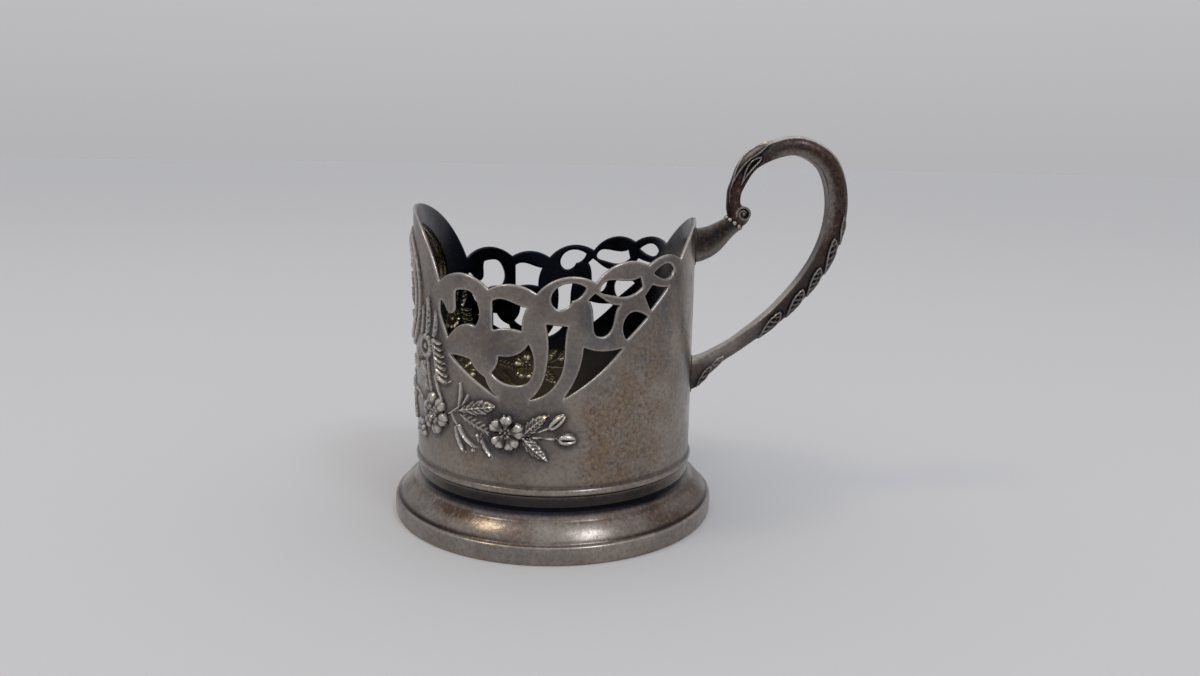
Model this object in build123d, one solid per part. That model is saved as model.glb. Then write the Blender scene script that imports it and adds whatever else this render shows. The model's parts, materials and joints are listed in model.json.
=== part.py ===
from build123d import *
import os
from math import cos, radians, sin, sqrt

# A podstakannik: a pierced metal sleeve on a spun foot, with a cast handle, that holds a tea glass.
# Origin at the middle of the foot's underside, +Z up, handle towards +X.

# Sleeve
SLEEVE_OUTER_RADIUS = 35.0
SLEEVE_WALL = 0.9
FRONT_CREST_HEIGHT = 67.2  # heights on the sleeve count from its lower edge
BACK_CREST_HEIGHT = 64.8
SEAM_WIDTH = 0.4

# Foot
FOOT_HEIGHT = 10.0
FOOT_OVERHANG = 6.1  # how far the foot stands out past the sleeve
FOOT_WALL = 1.0
BAND_HEIGHT = 4.5
BAND_STEP = 0.8  # the band stands this far out of the shoulder
BAND_ROUNDING = 0.5
LEDGE_WIDTH = 5.0  # the ledge reaches this far in under the sleeve
NECK_RIM = 0.6  # flat rim of the foot outside the sleeve
# Points on the foot's side, as shares of the way out from the neck to the shoulder and up from the band to the top
FOOT_BULGE = (0.8, 0.32)
FOOT_WAIST = (0.4, 0.55)
FOOT_COVE = (0.1, 0.77)

# Floor plate
FLOOR_THICKNESS = 0.9
FLOOR_CLEARANCE = 0.1
PLATFORM_MARGIN = 3.6  # from the sleeve's inside in to the platform's edge
PLATFORM_RISE = 0.8
RECESS_DEPTH = 0.45  # the floor plate sits in a shallow recess in the sleeve
RECESS_HEADROOM = 0.4

# Bead round the sleeve
BEAD_BOTTOM = 3.8
BEAD_HEIGHT = 2.0
BEAD_PROJECTION = 0.6

# Solder
SOLDER_FILM = 0.3
SOLDER_MARGIN = 0.4
FILLET_SIZE = 0.45

# Handle arm
ARM_BELOW_CREST = 7.2  # from the back crest down to the middle of the arm's root
ARM_ROOT_HEIGHT = 8.8
ARM_ROOT_DEPTH = 6.4
ARM_TIP_WIDTH = 5.0
ARM_TIP_DEPTH = 4.8
ARM_REACH = 9.5  # from the sleeve out to the middle of the collar
ARM_RISE = 6.1  # from the root up to the middle of the collar
ROOT_OVERLAP = 1.5  # the castings are drawn this far into the sleeve and trimmed to it

# Collar
COLLAR_TILT = 35.0  # degrees that the collar's axis leans out from upright
COLLAR_THICKNESS = 0.9
COLLAR_INSET = 0.3  # the washer's edge lies this far inside the arm's tip
COLLAR_BEADS = 12
COLLAR_BEAD_RADIUS = 0.7

# Tenon of the bow, in the collar and the arm
TENON_RADIUS = 1.0
TENON_LENGTH = 3.0
TENON_CLEARANCE = 0.05

# Handle bow
TERMINAL_HEIGHT = 24.6  # middle of the bow's lower end
TERMINAL_LENGTH = 9.2
TERMINAL_DEPTH = 6.4
BOW_START_WIDTH = 3.6
BOW_START_DEPTH = 4.0
VOLUTE_RADIUS = 1.6
VOLUTE_OUT = 2.6  # from the middle of the collar
VOLUTE_UP = 2.6
VOLUTE_DEPTH = 4.4
VOLUTE_ROUNDING = 0.6

# The bow's section: a flat inner face, rounded cheeks and a round back
SECTION_FLAT = 0.72  # width of the inner face, as a share of the depth
SECTION_CHEEK = 0.05  # where the cheek is deepest, as a share of the width
SECTION_BACK = 0.36  # where the cheek meets the back, as a share of the width
SECTION_BACK_DEPTH = 0.62  # depth there, as a share of the depth

# Tools that cut the metal
CUT_MARGIN = 3.0  # a tool runs this far past what it cuts
SKY_FLARE = 1.5  # a tool over the rim widens by this many steps to each side

# The strip is marked out in steps of about 1 mm, from the handle round to the front
STRIP_STEPS = 110

# The rim's valleys from the handle to the front, as (step, height), and a top for each scallop between them
VALLEYS = [(18.9, 56.4), (31.3, 55.9), (44.7, 52.7), (57.9, 50.3), (69.1, 50.8), (84.1, 51.1)]
SCALLOP_TOPS = [(25.3, 57.9), (39.0, 56.8), (50.5, 54.1), (63.5, 52.2), (76.3, 53.8)]
# The crests between their tops and the nearest valley, as (step, drop below the top)
BACK_CREST_SHOULDER = [(10.5, 2.3)]
FRONT_CREST_SHOULDER = [(88.0, 9.4), (94.0, 3.8), (102.0, 0.7)]

# The piercings on one side, as runs of (step, height): each run starts at a corner and ends where the next starts
PIERCINGS = {
    "hook": [
        [(81.2, 38.5), (82.7, 41.4), (83.9, 45.2), (83.3, 46.9), (82.2, 46.3), (81.2, 44.9), (79.9, 44.3),
         (78.7, 44.8), (78.3, 46.3)],
        [(77.9, 49.8), (75.5, 50.1), (73.6, 49.7), (72.1, 47.8), (71.5, 45.3), (72.0, 43.2)],
        [(72.8, 42.2), (76.6, 42.2), (78.7, 41.0)],
    ],
    "square": [
        [(68.1, 48.2), (66.2, 48.8), (63.5, 48.2)],
        [(60.1, 47.2), (60.9, 45.2)],
        [(61.3, 41.9), (64.6, 42.4)],
        [(68.1, 41.8)],
    ],
    "bean": [
        [(47.0, 51.6), (49.5, 52.6), (52.3, 52.3), (54.4, 50.3), (54.6, 48.4), (53.1, 46.9), (51.2, 47.4)],
        [(50.1, 48.8), (48.5, 49.5)],
    ],
    "lens": [
        [(33.7, 53.5), (36.4, 52.8), (40.1, 53.1), (43.2, 52.4), (43.8, 50.9), (41.4, 49.85), (38.3, 49.3)],
        [(33.0, 51.2)],
    ],
    "teardrop": [
        [(29.7, 54.1), (27.2, 55.5), (24.4, 55.8)],
        [(22.2, 54.2), (23.6, 52.7), (26.4, 52.6)],
    ],
    "kite": [
        [(32.3, 49.1)],
        [(30.1, 51.4), (27.2, 50.7)],
        [(24.3, 50.5)],
        [(30.4, 45.5), (31.2, 47.0)],
    ],
    "finger": [
        [(46.4, 49.0)],
        [(45.0, 50.3), (43.2, 49.1), (41.4, 48.0)],
        [(38.9, 47.5), (40.3, 44.7), (40.9, 42.4), (42.6, 40.7), (44.6, 41.1), (45.2, 42.8), (45.4, 46.0)],
    ],
    "half_round": [
        [(31.2, 44.2), (33.5, 45.4), (36.0, 45.6), (37.8, 43.9), (38.1, 42.0)],
        [(37.0, 39.5)],
    ],
    "triangle": [
        [(47.4, 38.4), (44.0, 37.4), (41.5, 37.3)],
        [(38.0, 37.7), (46.4, 30.3)],
        [(51.8, 26.9), (49.5, 30.6), (48.0, 34.5)],
    ],
    "tall": [
        [(55.8, 43.6)],
        [(51.0, 43.1), (51.7, 38.5), (52.1, 33.8), (54.2, 29.6)],
        [(59.3, 26.6), (56.6, 30.2), (55.4, 35.2), (55.2, 39.5)],
    ],
    "bowl": [
        [(59.7, 39.0), (58.8, 36.8), (58.7, 33.2), (60.2, 30.3), (63.0, 29.6), (66.1, 30.2)],
        [(68.5, 32.0), (67.3, 33.5)],
        [(66.7, 36.0), (63.7, 36.1), (61.4, 37.1)],
    ],
    "wedge": [
        [(80.4, 34.7), (77.5, 34.9)],
        [(74.0, 34.4), (72.4, 32.2)],
        [(70.2, 30.9), (69.3, 28.9)],
        [(67.2, 26.7), (71.8, 29.2), (75.6, 31.5)],
    ],
}

# The oval frame at the front
OVAL_HEIGHT = 47.0  # its middle, above the sleeve's lower edge
OVAL_HALF_WIDTH = 17.2
OVAL_HALF_HEIGHT = 15.2
OVAL_BAND = 3.6
OVAL_POINTS = 7  # points that its curves go through, on one side
OVAL_OVERRUN = 6.0  # degrees that the curves run past the middle of the front

# How far the raised ornament stands out of the wall, and how deep it is rooted in it
FRAME_RISE = 1.2
FLOWER_RISE = 1.1
LEAF_RISE = 0.8
RELIEF_ROOT = 0.4

# The flowers on one side: the middle as (step, height), reach, petals, share of the reach between petals, first angle
FLOWERS = [
    ((90.1, 35.2), 3.0, 8, 0.85, 90.0),
    ((86.3, 19.6), 5.0, 5, 0.74, 80.0),
    ((65.0, 18.5), 3.9, 5, 0.72, 95.0),
    ((110.0, 21.5), 4.6, 5, 0.72, 90.0),
    ((94.3, 14.6), 3.0, 3, 0.72, 90.0),
]
# The leaves and buds on one side: base and tip as (step, height), and width
LEAVES = [
    ((86.4, 38.4), (80.8, 28.2), 4.2),
    ((89.0, 39.4), (88.4, 46.0), 2.0),
    ((93.3, 30.9), (90.0, 27.8), 2.6),
    ((77.6, 22.1), (67.6, 24.5), 2.7),
    ((77.1, 24.4), (76.8, 29.0), 1.4),
    ((78.3, 18.2), (75.5, 12.6), 1.5),
    ((76.2, 18.4), (71.9, 14.2), 1.5),
    ((70.4, 18.0), (68.2, 12.9), 1.5),
    ((60.0, 18.7), (55.4, 23.1), 2.6),
    ((60.0, 17.5), (55.5, 12.9), 2.6),
    ((54.4, 20.7), (51.6, 23.1), 1.9),
    ((52.9, 17.5), (49.0, 17.4), 2.5),
    ((104.6, 21.6), (98.0, 23.0), 3.4),
    ((105.1, 18.6), (99.5, 15.2), 3.0),
]

# Stations of the arm between its root and the collar, as (out, up) from the root, width, depth and lean in degrees
ARM_STATIONS = [
    (3.3, 1.4, 7.7, 6.0, 60.0),
    (6.2, 3.4, 6.0, 5.4, 48.0),
]
# Stations of the bow, as (out, up), width and depth: the upper ones from the collar, the lower ones from the terminal
UPPER_STATIONS = [
    (-0.3, 4.5, 2.9, 4.0),
    (0.1, 8.6, 3.1, 4.2),
    (4.4, 15.6, 4.3, 4.8),
    (14.8, 19.2, 4.8, 5.4),
    (23.0, 14.8, 5.2, 5.8),
    (25.9, 3.8, 5.2, 6.0),
    (22.9, -8.8, 5.0, 5.8),
]
LOWER_STATIONS = [
    (23.4, 17.8, 4.5, 5.4),
    (12.3, 8.4, 3.7, 5.0),
    (6.6, 4.6, 4.1, 5.2),
    (3.6, 2.5, 5.3, 5.6),
    (1.3, 1.0, 7.4, 6.0),
]

SLEEVE_INNER_RADIUS = SLEEVE_OUTER_RADIUS - SLEEVE_WALL
FOOT_RADIUS = SLEEVE_OUTER_RADIUS + FOOT_OVERHANG
FLOOR_TOP = FOOT_HEIGHT + FLOOR_THICKNESS
PLATFORM_RADIUS = SLEEVE_INNER_RADIUS - PLATFORM_MARGIN
RECESS_RADIUS = SLEEVE_INNER_RADIUS + RECESS_DEPTH
RECESS_HEIGHT = FLOOR_THICKNESS + PLATFORM_RISE + RECESS_HEADROOM
TALLEST_CREST = max(FRONT_CREST_HEIGHT, BACK_CREST_HEIGHT)
CUT_HEIGHT = FOOT_HEIGHT + TALLEST_CREST + CUT_MARGIN
ARM_ROOT_UP = FOOT_HEIGHT + BACK_CREST_HEIGHT - ARM_BELOW_CREST
TERMINAL_UP = FOOT_HEIGHT + TERMINAL_HEIGHT
CASTING_RADIUS = SLEEVE_OUTER_RADIUS + SOLDER_FILM
ROUND_MIDDLE = 1 - sqrt(0.5)  # how far in a quarter round's middle lies, as a share of its radius


def strip_angle(step):
    """Angle round the sleeve of a mark on the strip, in degrees from the handle."""
    return 180 * step / STRIP_STEPS


def curve_through(points):
    """A line, an arc or a smooth curve, by the number of points."""
    if len(points) == 2:
        return Line(*points)
    if len(points) == 3:
        return ThreePointArc(*points)
    return Spline(*points)


def wall_tool(runs):
    """A prism through one side of the sleeve, square to the wall at the middle of its outline."""
    steps = [step for run in runs for step, height in run]
    middle = strip_angle((min(steps) + max(steps)) / 2)
    outward = (cos(radians(middle)), sin(radians(middle)), 0)
    along = (-sin(radians(middle)), cos(radians(middle)), 0)
    wall = Plane(origin=(0, 0, FOOT_HEIGHT), x_dir=along, z_dir=outward)

    def flat(mark):
        return (SLEEVE_OUTER_RADIUS * sin(radians(strip_angle(mark[0]) - middle)), mark[1])

    edges = []
    for run, following in zip(runs, runs[1:] + runs[:1]):
        edges.append(curve_through([flat(mark) for mark in run + following[:1]]))
    outline = wall * make_face(edges)
    return extrude(outline, SLEEVE_OUTER_RADIUS + CUT_MARGIN, dir=outward)


def sky_tool(edge_run):
    """The space above one stretch of the rim, from valley to valley or from valley to crest top."""
    sky = TALLEST_CREST + CUT_MARGIN
    start, end = edge_run[0][0], edge_run[-1][0]
    return wall_tool([edge_run[:-1], edge_run[-1:], [(end + SKY_FLARE, sky)], [(start - SKY_FLARE, sky)]])


def rim_runs():
    """The rim from the back crest's top round one side to the front crest's top."""
    back = [(0, BACK_CREST_HEIGHT)]
    back += [(step, BACK_CREST_HEIGHT - drop) for step, drop in BACK_CREST_SHOULDER]
    front = [(step, FRONT_CREST_HEIGHT - drop) for step, drop in FRONT_CREST_SHOULDER]
    front += [(STRIP_STEPS, FRONT_CREST_HEIGHT)]
    scallops = zip(VALLEYS, SCALLOP_TOPS, VALLEYS[1:])
    return [back + VALLEYS[:1]] + [list(scallop) for scallop in scallops] + [VALLEYS[-1:] + front]


def ring_solid(outer_radius, inner_radius, bottom, height):
    """A plain ring about the sleeve's axis."""
    return extrude(Plane.XY.offset(bottom) * (Circle(outer_radius) - Circle(inner_radius)), height)


def turned(edges):
    """A solid of revolution about the sleeve's axis from an outline of (radius, height)."""
    return revolve(Plane.XZ * make_face(edges), Axis.Z)


def half_space(side):
    """Everything on one side of the seam: 1 for +Y, -1 for -Y."""
    reach = 2 * (SLEEVE_OUTER_RADIUS + CUT_MARGIN)
    return Pos(0, side * reach / 2, CUT_HEIGHT / 2) * Box(reach, reach, CUT_HEIGHT)


def seam_slit():
    """The gap between the strip's two ends, behind the handle."""
    reach = 2 * (SLEEVE_WALL + CUT_MARGIN)
    return Pos(SLEEVE_OUTER_RADIUS, 0, CUT_HEIGHT / 2) * Box(reach, SEAM_WIDTH, CUT_HEIGHT)


def flower_runs(middle, reach, petals, between, first_angle):
    """The outline of a flower: an arc for each petal."""
    step, height = middle
    half_petal = 180 / petals
    runs = []
    for petal in range(petals):
        tip = radians(first_angle + 2 * half_petal * petal)
        gap = tip - radians(half_petal)
        runs.append([
            (step + between * reach * cos(gap), height + between * reach * sin(gap)),
            (step + reach * cos(tip), height + reach * sin(tip)),
        ])
    return runs


def leaf_runs(base, tip, width):
    """The outline of a leaf: two arcs that meet at its base and its tip."""
    run, rise = tip[0] - base[0], tip[1] - base[1]
    length = sqrt(run**2 + rise**2)
    middle = ((base[0] + tip[0]) / 2, (base[1] + tip[1]) / 2)
    side = (-rise / length * width / 2, run / length * width / 2)
    left = (middle[0] + side[0], middle[1] + side[1])
    right = (middle[0] - side[0], middle[1] - side[1])
    return [[base, left], [tip, right]]


def oval_curve(inset):
    """One side of an oval about the front, from just past its top to just past its bottom."""
    sweep = (180 + 2 * OVAL_OVERRUN) / (OVAL_POINTS - 1)
    turns = [radians(sweep * point - OVAL_OVERRUN) for point in range(OVAL_POINTS)]
    half_width, half_height = OVAL_HALF_WIDTH - inset, OVAL_HALF_HEIGHT - inset
    return [(STRIP_STEPS - half_width * sin(turn), OVAL_HEIGHT + half_height * cos(turn)) for turn in turns]


def raised(runs, rise):
    """A flat form that stands out of one side of the sleeve."""
    skin = ring_solid(SLEEVE_OUTER_RADIUS + rise, SLEEVE_OUTER_RADIUS - RELIEF_ROOT, FOOT_HEIGHT, TALLEST_CREST)
    return wall_tool(runs) & skin & half_space(1)


def ornament():
    """The oval frame, the flowers and the leaves on one side of the sleeve."""
    outer, inner = oval_curve(0), oval_curve(OVAL_BAND)[::-1]
    forms = [raised([outer[:-1], outer[-1:], inner[:-1], inner[-1:]], FRAME_RISE)]
    forms += [raised(flower_runs(*flower), FLOWER_RISE) for flower in FLOWERS]
    forms += [raised(leaf_runs(*leaf), LEAF_RISE) for leaf in LEAVES]
    return forms


def sleeve_and_seam():
    """The rolled strip with its piercings and its raised ornament, and the solder that closes its seam."""
    wall = ring_solid(SLEEVE_OUTER_RADIUS, SLEEVE_INNER_RADIUS, FOOT_HEIGHT, TALLEST_CREST)
    wall -= extrude(Plane.XY.offset(FOOT_HEIGHT) * Circle(RECESS_RADIUS), RECESS_HEIGHT)
    half = wall & half_space(1)
    for run in rim_runs():
        half -= sky_tool(run)
    seam = half & seam_slit()
    half -= seam_slit()
    for runs in PIERCINGS.values():
        half -= wall_tool(runs)
    half += ornament()
    return half + mirror(half, about=Plane.XZ), seam + mirror(seam, about=Plane.XZ)


def foot_outline(inset):
    """The foot's outside, or the same line moved into the metal by the inset, from the ground to the ledge."""
    band = FOOT_RADIUS - inset
    shoulder = band - BAND_STEP
    neck = SLEEVE_OUTER_RADIUS + NECK_RIM - inset
    drop = inset / 2  # the sloping side moves half in and half down
    top = FOOT_HEIGHT - inset
    lip = BAND_HEIGHT - drop
    rounding = ROUND_MIDDLE * BAND_ROUNDING

    def side(share):
        out, up = share
        return (neck + out * (shoulder - neck), lip + up * (FOOT_HEIGHT - BAND_HEIGHT))

    bulge, waist, cove = side(FOOT_BULGE), side(FOOT_WAIST), side(FOOT_COVE)
    return [
        Line((band, 0), (band, lip - BAND_ROUNDING)),
        ThreePointArc(
            (band, lip - BAND_ROUNDING),
            (band - rounding, lip - rounding),
            (band - BAND_ROUNDING, lip),
        ),
        Line((band - BAND_ROUNDING, lip), (shoulder, lip)),
        ThreePointArc((shoulder, lip), bulge, waist),
        ThreePointArc(waist, cove, (neck, top)),
    ]


def foot():
    """A hollow spun foot: a band on the ground, a shoulder, a cove and a ledge under the sleeve."""
    ledge = SLEEVE_OUTER_RADIUS - LEDGE_WIDTH
    outside = foot_outline(0)
    inside = foot_outline(FOOT_WALL)
    neck = SLEEVE_OUTER_RADIUS + NECK_RIM
    under = FOOT_HEIGHT - FOOT_WALL
    edges = outside + inside
    edges += [
        Line((neck, FOOT_HEIGHT), (ledge, FOOT_HEIGHT)),
        Line((ledge, FOOT_HEIGHT), (ledge, under)),
        Line((ledge, under), (neck - FOOT_WALL, under)),
        Line((FOOT_RADIUS - FOOT_WALL, 0), (FOOT_RADIUS, 0)),
    ]
    return turned(edges)


def floor_plate():
    """A pressed disc on the foot's ledge, with a raised platform for the glass."""
    edge = RECESS_RADIUS - FLOOR_CLEARANCE
    skirt = PLATFORM_RADIUS + PLATFORM_RISE
    outline = Polyline(
        (0, FOOT_HEIGHT + PLATFORM_RISE),
        (PLATFORM_RADIUS - FLOOR_THICKNESS, FOOT_HEIGHT + PLATFORM_RISE),
        (skirt - FLOOR_THICKNESS, FOOT_HEIGHT),
        (edge, FOOT_HEIGHT),
        (edge, FLOOR_TOP),
        (skirt, FLOOR_TOP),
        (PLATFORM_RADIUS, FLOOR_TOP + PLATFORM_RISE),
        (0, FLOOR_TOP + PLATFORM_RISE),
        close=True,
    )
    return turned(outline)


def fillet_ring(wall_radius, bottom, towards):
    """A ring of solder in the corner of a wall and a flat, on the side that towards points to."""
    outline = Polyline(
        (wall_radius, bottom),
        (wall_radius + towards * FILLET_SIZE, bottom),
        (wall_radius, bottom + FILLET_SIZE),
        close=True,
    )
    return turned(outline)


def bead_ring():
    """A half-round wire round the bottom of the sleeve."""
    bottom = FOOT_HEIGHT + BEAD_BOTTOM
    low = (SLEEVE_OUTER_RADIUS, bottom)
    high = (SLEEVE_OUTER_RADIUS, bottom + BEAD_HEIGHT)
    crown = (SLEEVE_OUTER_RADIUS + BEAD_PROJECTION, bottom + BEAD_HEIGHT / 2)
    return turned([Line(low, high), ThreePointArc(high, crown, low)])


def upright_plane(out, up, lean):
    """A plane across the handle: its normal leans out from upright by an angle, its x axis points out of the loop."""
    axis = (sin(radians(lean)), 0, cos(radians(lean)))
    back = (-cos(radians(lean)), 0, sin(radians(lean)))
    return Plane(origin=(out, 0, up), x_dir=back, z_dir=axis)


def collar_plane(shift=0.0):
    """The plane of the collar's middle, moved along its axis."""
    out = SLEEVE_OUTER_RADIUS + ARM_REACH
    up = ARM_ROOT_UP + ARM_RISE
    return upright_plane(out, up, COLLAR_TILT).offset(shift)


def tenon(radius, length):
    """A peg down from the bow's foot, through the collar and into the arm."""
    return collar_plane(COLLAR_THICKNESS / 2 - length) * extrude(Circle(radius), length)


def beyond_sleeve():
    """The space inside the solder film, where no casting may reach, turned so that its seam faces away from them."""
    return Rot(0, 0, 180) * extrude(Circle(CASTING_RADIUS), CUT_HEIGHT)


def handle_arm():
    """A tapering horn from the sleeve up to the collar, with a socket for the tenon."""
    root = upright_plane(SLEEVE_OUTER_RADIUS - ROOT_OVERLAP, ARM_ROOT_UP, 90)
    sections = [root * Ellipse(ARM_ROOT_HEIGHT / 2, ARM_ROOT_DEPTH / 2)]
    for out, up, width, depth, lean in ARM_STATIONS:
        across = upright_plane(SLEEVE_OUTER_RADIUS + out, ARM_ROOT_UP + up, lean)
        sections.append(across * Ellipse(width / 2, depth / 2))
    sections.append(collar_plane(-COLLAR_THICKNESS / 2) * Ellipse(ARM_TIP_WIDTH / 2, ARM_TIP_DEPTH / 2))
    return loft(sections) - beyond_sleeve() - tenon(TENON_RADIUS + TENON_CLEARANCE, TENON_LENGTH)


def bead_collar():
    """A thin washer on the arm's tip with a row of beads round its edge."""
    half_width = ARM_TIP_WIDTH / 2 - COLLAR_INSET
    half_depth = ARM_TIP_DEPTH / 2 - COLLAR_INSET
    plane = collar_plane()
    washer = collar_plane(-COLLAR_THICKNESS / 2) * extrude(Ellipse(half_width, half_depth), COLLAR_THICKNESS)
    beads = []
    for bead in range(COLLAR_BEADS):
        turn = radians(360 * bead / COLLAR_BEADS)
        place = Pos(half_width * cos(turn), half_depth * sin(turn))
        beads.append(plane * place * Sphere(COLLAR_BEAD_RADIUS))
    between = collar_plane(-COLLAR_THICKNESS / 2) * extrude(
        Ellipse(ARM_TIP_WIDTH, ARM_TIP_DEPTH), COLLAR_THICKNESS
    )
    ring = washer + [bead & between for bead in beads]
    return ring - tenon(TENON_RADIUS + TENON_CLEARANCE, TENON_LENGTH)


def bow_section(width, depth):
    """The bow's section: flat towards the loop, with rounded cheeks and a round back."""
    inner, outer = -width / 2, width / 2
    flat = SECTION_FLAT * depth / 2
    back = SECTION_BACK * width
    back_depth = SECTION_BACK_DEPTH * depth / 2
    cheek = SECTION_CHEEK * width
    edges = [
        Line((inner, -flat), (inner, flat)),
        ThreePointArc((inner, flat), (cheek, depth / 2), (back, back_depth)),
        ThreePointArc((back, back_depth), (outer, 0), (back, -back_depth)),
        ThreePointArc((back, -back_depth), (cheek, -depth / 2), (inner, -flat)),
    ]
    return make_face(edges)


def handle_bow():
    """The cast bow from the collar over and down to the sleeve, with its scroll and its tenon."""
    collar_out = SLEEVE_OUTER_RADIUS + ARM_REACH
    collar_up = ARM_ROOT_UP + ARM_RISE
    places = [(collar_out + out, collar_up + up) for out, up, width, depth in UPPER_STATIONS]
    places += [(SLEEVE_OUTER_RADIUS + out, TERMINAL_UP + up) for out, up, width, depth in LOWER_STATIONS]
    sizes = [(width, depth) for out, up, width, depth in UPPER_STATIONS + LOWER_STATIONS]
    start = collar_plane(COLLAR_THICKNESS / 2)
    end = upright_plane(SLEEVE_OUTER_RADIUS - ROOT_OVERLAP, TERMINAL_UP, 270)
    line = [start.origin] + [Vector(out, 0, up) for out, up in places] + [end.origin]
    sections = [start * bow_section(BOW_START_WIDTH, BOW_START_DEPTH)]
    for before, here, after, size in zip(line, line[1:], line[2:], sizes):
        along = (after - before).normalized()
        across = Plane(origin=here, x_dir=(-along.Z, 0, along.X), z_dir=along)
        sections.append(across * bow_section(*size))
    sections.append(end * bow_section(TERMINAL_LENGTH, TERMINAL_DEPTH))
    bow = loft(sections) - beyond_sleeve()
    under_collar = collar_plane(-TENON_LENGTH) * extrude(
        Circle(ARM_TIP_WIDTH), TENON_LENGTH + COLLAR_THICKNESS / 2
    )
    bow -= under_collar
    scroll_place = Plane(
        origin=(collar_out + VOLUTE_OUT, VOLUTE_DEPTH / 2, collar_up + VOLUTE_UP),
        x_dir=(1, 0, 0),
        z_dir=(0, -1, 0),
    )
    scroll = extrude(Circle(VOLUTE_RADIUS), VOLUTE_DEPTH)
    scroll = fillet(scroll.edges().filter_by(GeomType.CIRCLE), VOLUTE_ROUNDING)
    return bow + scroll_place * scroll + tenon(TENON_RADIUS, TENON_LENGTH - TENON_CLEARANCE)


def solder_film(up, height, depth):
    """A film of solder on the sleeve, a little larger than the casting that it holds."""
    film = Rot(0, 0, 180) * ring_solid(CASTING_RADIUS, SLEEVE_OUTER_RADIUS, 0, up + height)
    patch = Plane(origin=(0, 0, up), x_dir=(0, 1, 0), z_dir=(1, 0, 0)) * Ellipse(
        depth / 2 + SOLDER_MARGIN, height / 2 + SOLDER_MARGIN
    )
    return film & extrude(patch, CASTING_RADIUS + CUT_MARGIN, dir=(1, 0, 0))


os.makedirs("parts", exist_ok=True)
sleeve, seam_solder = sleeve_and_seam()
pieces = {
    "sleeve": sleeve,
    "seam_solder": seam_solder,
    "bead_ring": bead_ring(),
    "foot": foot(),
    "floor_plate": floor_plate(),
    "foot_solder": fillet_ring(SLEEVE_OUTER_RADIUS, FOOT_HEIGHT, 1),
    "floor_solder": fillet_ring(RECESS_RADIUS, FLOOR_TOP, -1),
    "handle_arm": handle_arm(),
    "bead_collar": bead_collar(),
    "handle_bow": handle_bow(),
    "arm_solder": solder_film(ARM_ROOT_UP, ARM_ROOT_HEIGHT, ARM_ROOT_DEPTH),
    "terminal_solder": solder_film(TERMINAL_UP, TERMINAL_LENGTH, TERMINAL_DEPTH),
}
for node, piece in pieces.items():
    export_step(piece, f"parts/{node}.step")
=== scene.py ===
import json
import math

import bmesh
import bpy
import numpy as np
from mathutils import Matrix, Vector
from mathutils.geometry import delaunay_2d_cdt
from mathutils.kdtree import KDTree


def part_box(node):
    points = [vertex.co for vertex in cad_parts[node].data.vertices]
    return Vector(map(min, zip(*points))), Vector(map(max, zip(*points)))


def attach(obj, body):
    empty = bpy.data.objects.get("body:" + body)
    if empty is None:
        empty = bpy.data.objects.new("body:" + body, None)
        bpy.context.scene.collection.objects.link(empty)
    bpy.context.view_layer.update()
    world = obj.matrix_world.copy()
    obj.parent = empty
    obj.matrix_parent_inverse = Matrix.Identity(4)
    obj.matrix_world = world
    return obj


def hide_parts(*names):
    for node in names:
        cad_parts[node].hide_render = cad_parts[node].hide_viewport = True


# A tea glass holder: a stamped and pierced sleeve, a spun foot and a cast handle, in aged silver plate.
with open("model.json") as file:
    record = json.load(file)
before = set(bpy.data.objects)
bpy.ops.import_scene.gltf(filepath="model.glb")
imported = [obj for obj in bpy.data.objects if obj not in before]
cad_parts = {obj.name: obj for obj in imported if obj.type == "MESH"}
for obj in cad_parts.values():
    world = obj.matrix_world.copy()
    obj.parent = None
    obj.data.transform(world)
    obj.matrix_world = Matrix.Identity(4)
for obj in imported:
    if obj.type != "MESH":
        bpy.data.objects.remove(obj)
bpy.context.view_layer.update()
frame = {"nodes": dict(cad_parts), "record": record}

MM = 0.001  # the shapes below are worked out in millimetres

# Sizes that come from the frame
mounts = {mount["name"]: mount for mount in frame["record"]["mounts"]}
BORE_RADIUS = mounts["glass_bore"]["dims"]["r_mm"]
SLEEVE_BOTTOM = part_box("sleeve")[0].z / MM
SLEEVE_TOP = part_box("sleeve")[1].z / MM
sleeve_corners = [vert.co for vert in frame["nodes"]["sleeve"].data.vertices]
SLEEVE_RADIUS = max(co.xy.length for co in sleeve_corners if co.z < (SLEEVE_BOTTOM + 0.1) * MM) / MM
SLEEVE_WALL = SLEEVE_RADIUS - BORE_RADIUS
HALF_ROUND = math.pi * SLEEVE_RADIUS  # from the handle round to the front
FOOT_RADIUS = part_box("foot")[1].x / MM
FOOT_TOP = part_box("foot")[1].z / MM
BEAD_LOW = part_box("bead_ring")[0].z / MM
BEAD_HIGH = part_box("bead_ring")[1].z / MM
BEAD_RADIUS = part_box("bead_ring")[1].x / MM
FLOOR_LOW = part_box("floor_plate")[0].z / MM
FLOOR_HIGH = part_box("floor_plate")[1].z / MM
FLOOR_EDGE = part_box("floor_plate")[1].x / MM

# The sleeve's relief and its mesh
OVAL_UP = 57.0  # the middle of the oval at the front
SPRAY_END = 84.0  # the finely veined spray lies between the handle and here
RASTER_STEP = 0.15
COVERED = 0.02  # relief from this height on counts as ornament
OUTLINE_STEP = 0.6
EDGE_ROUNDING = 0.26
EDGE_BAND = 0.65  # a second row of points follows the edges here
SPRAY_STEP = 0.21
RELIEF_STEP = 0.32
MARGIN_STEP = 0.8
PLAIN_STEP = 2.0

# The spun pieces
SPIN_STEPS = 180
FLOOR_SHEET = 0.9
PLATFORM_RADIUS = 29.6
LEDGE_RADIUS = 30.0
LEDGE_SHEET = 1.0
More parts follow.
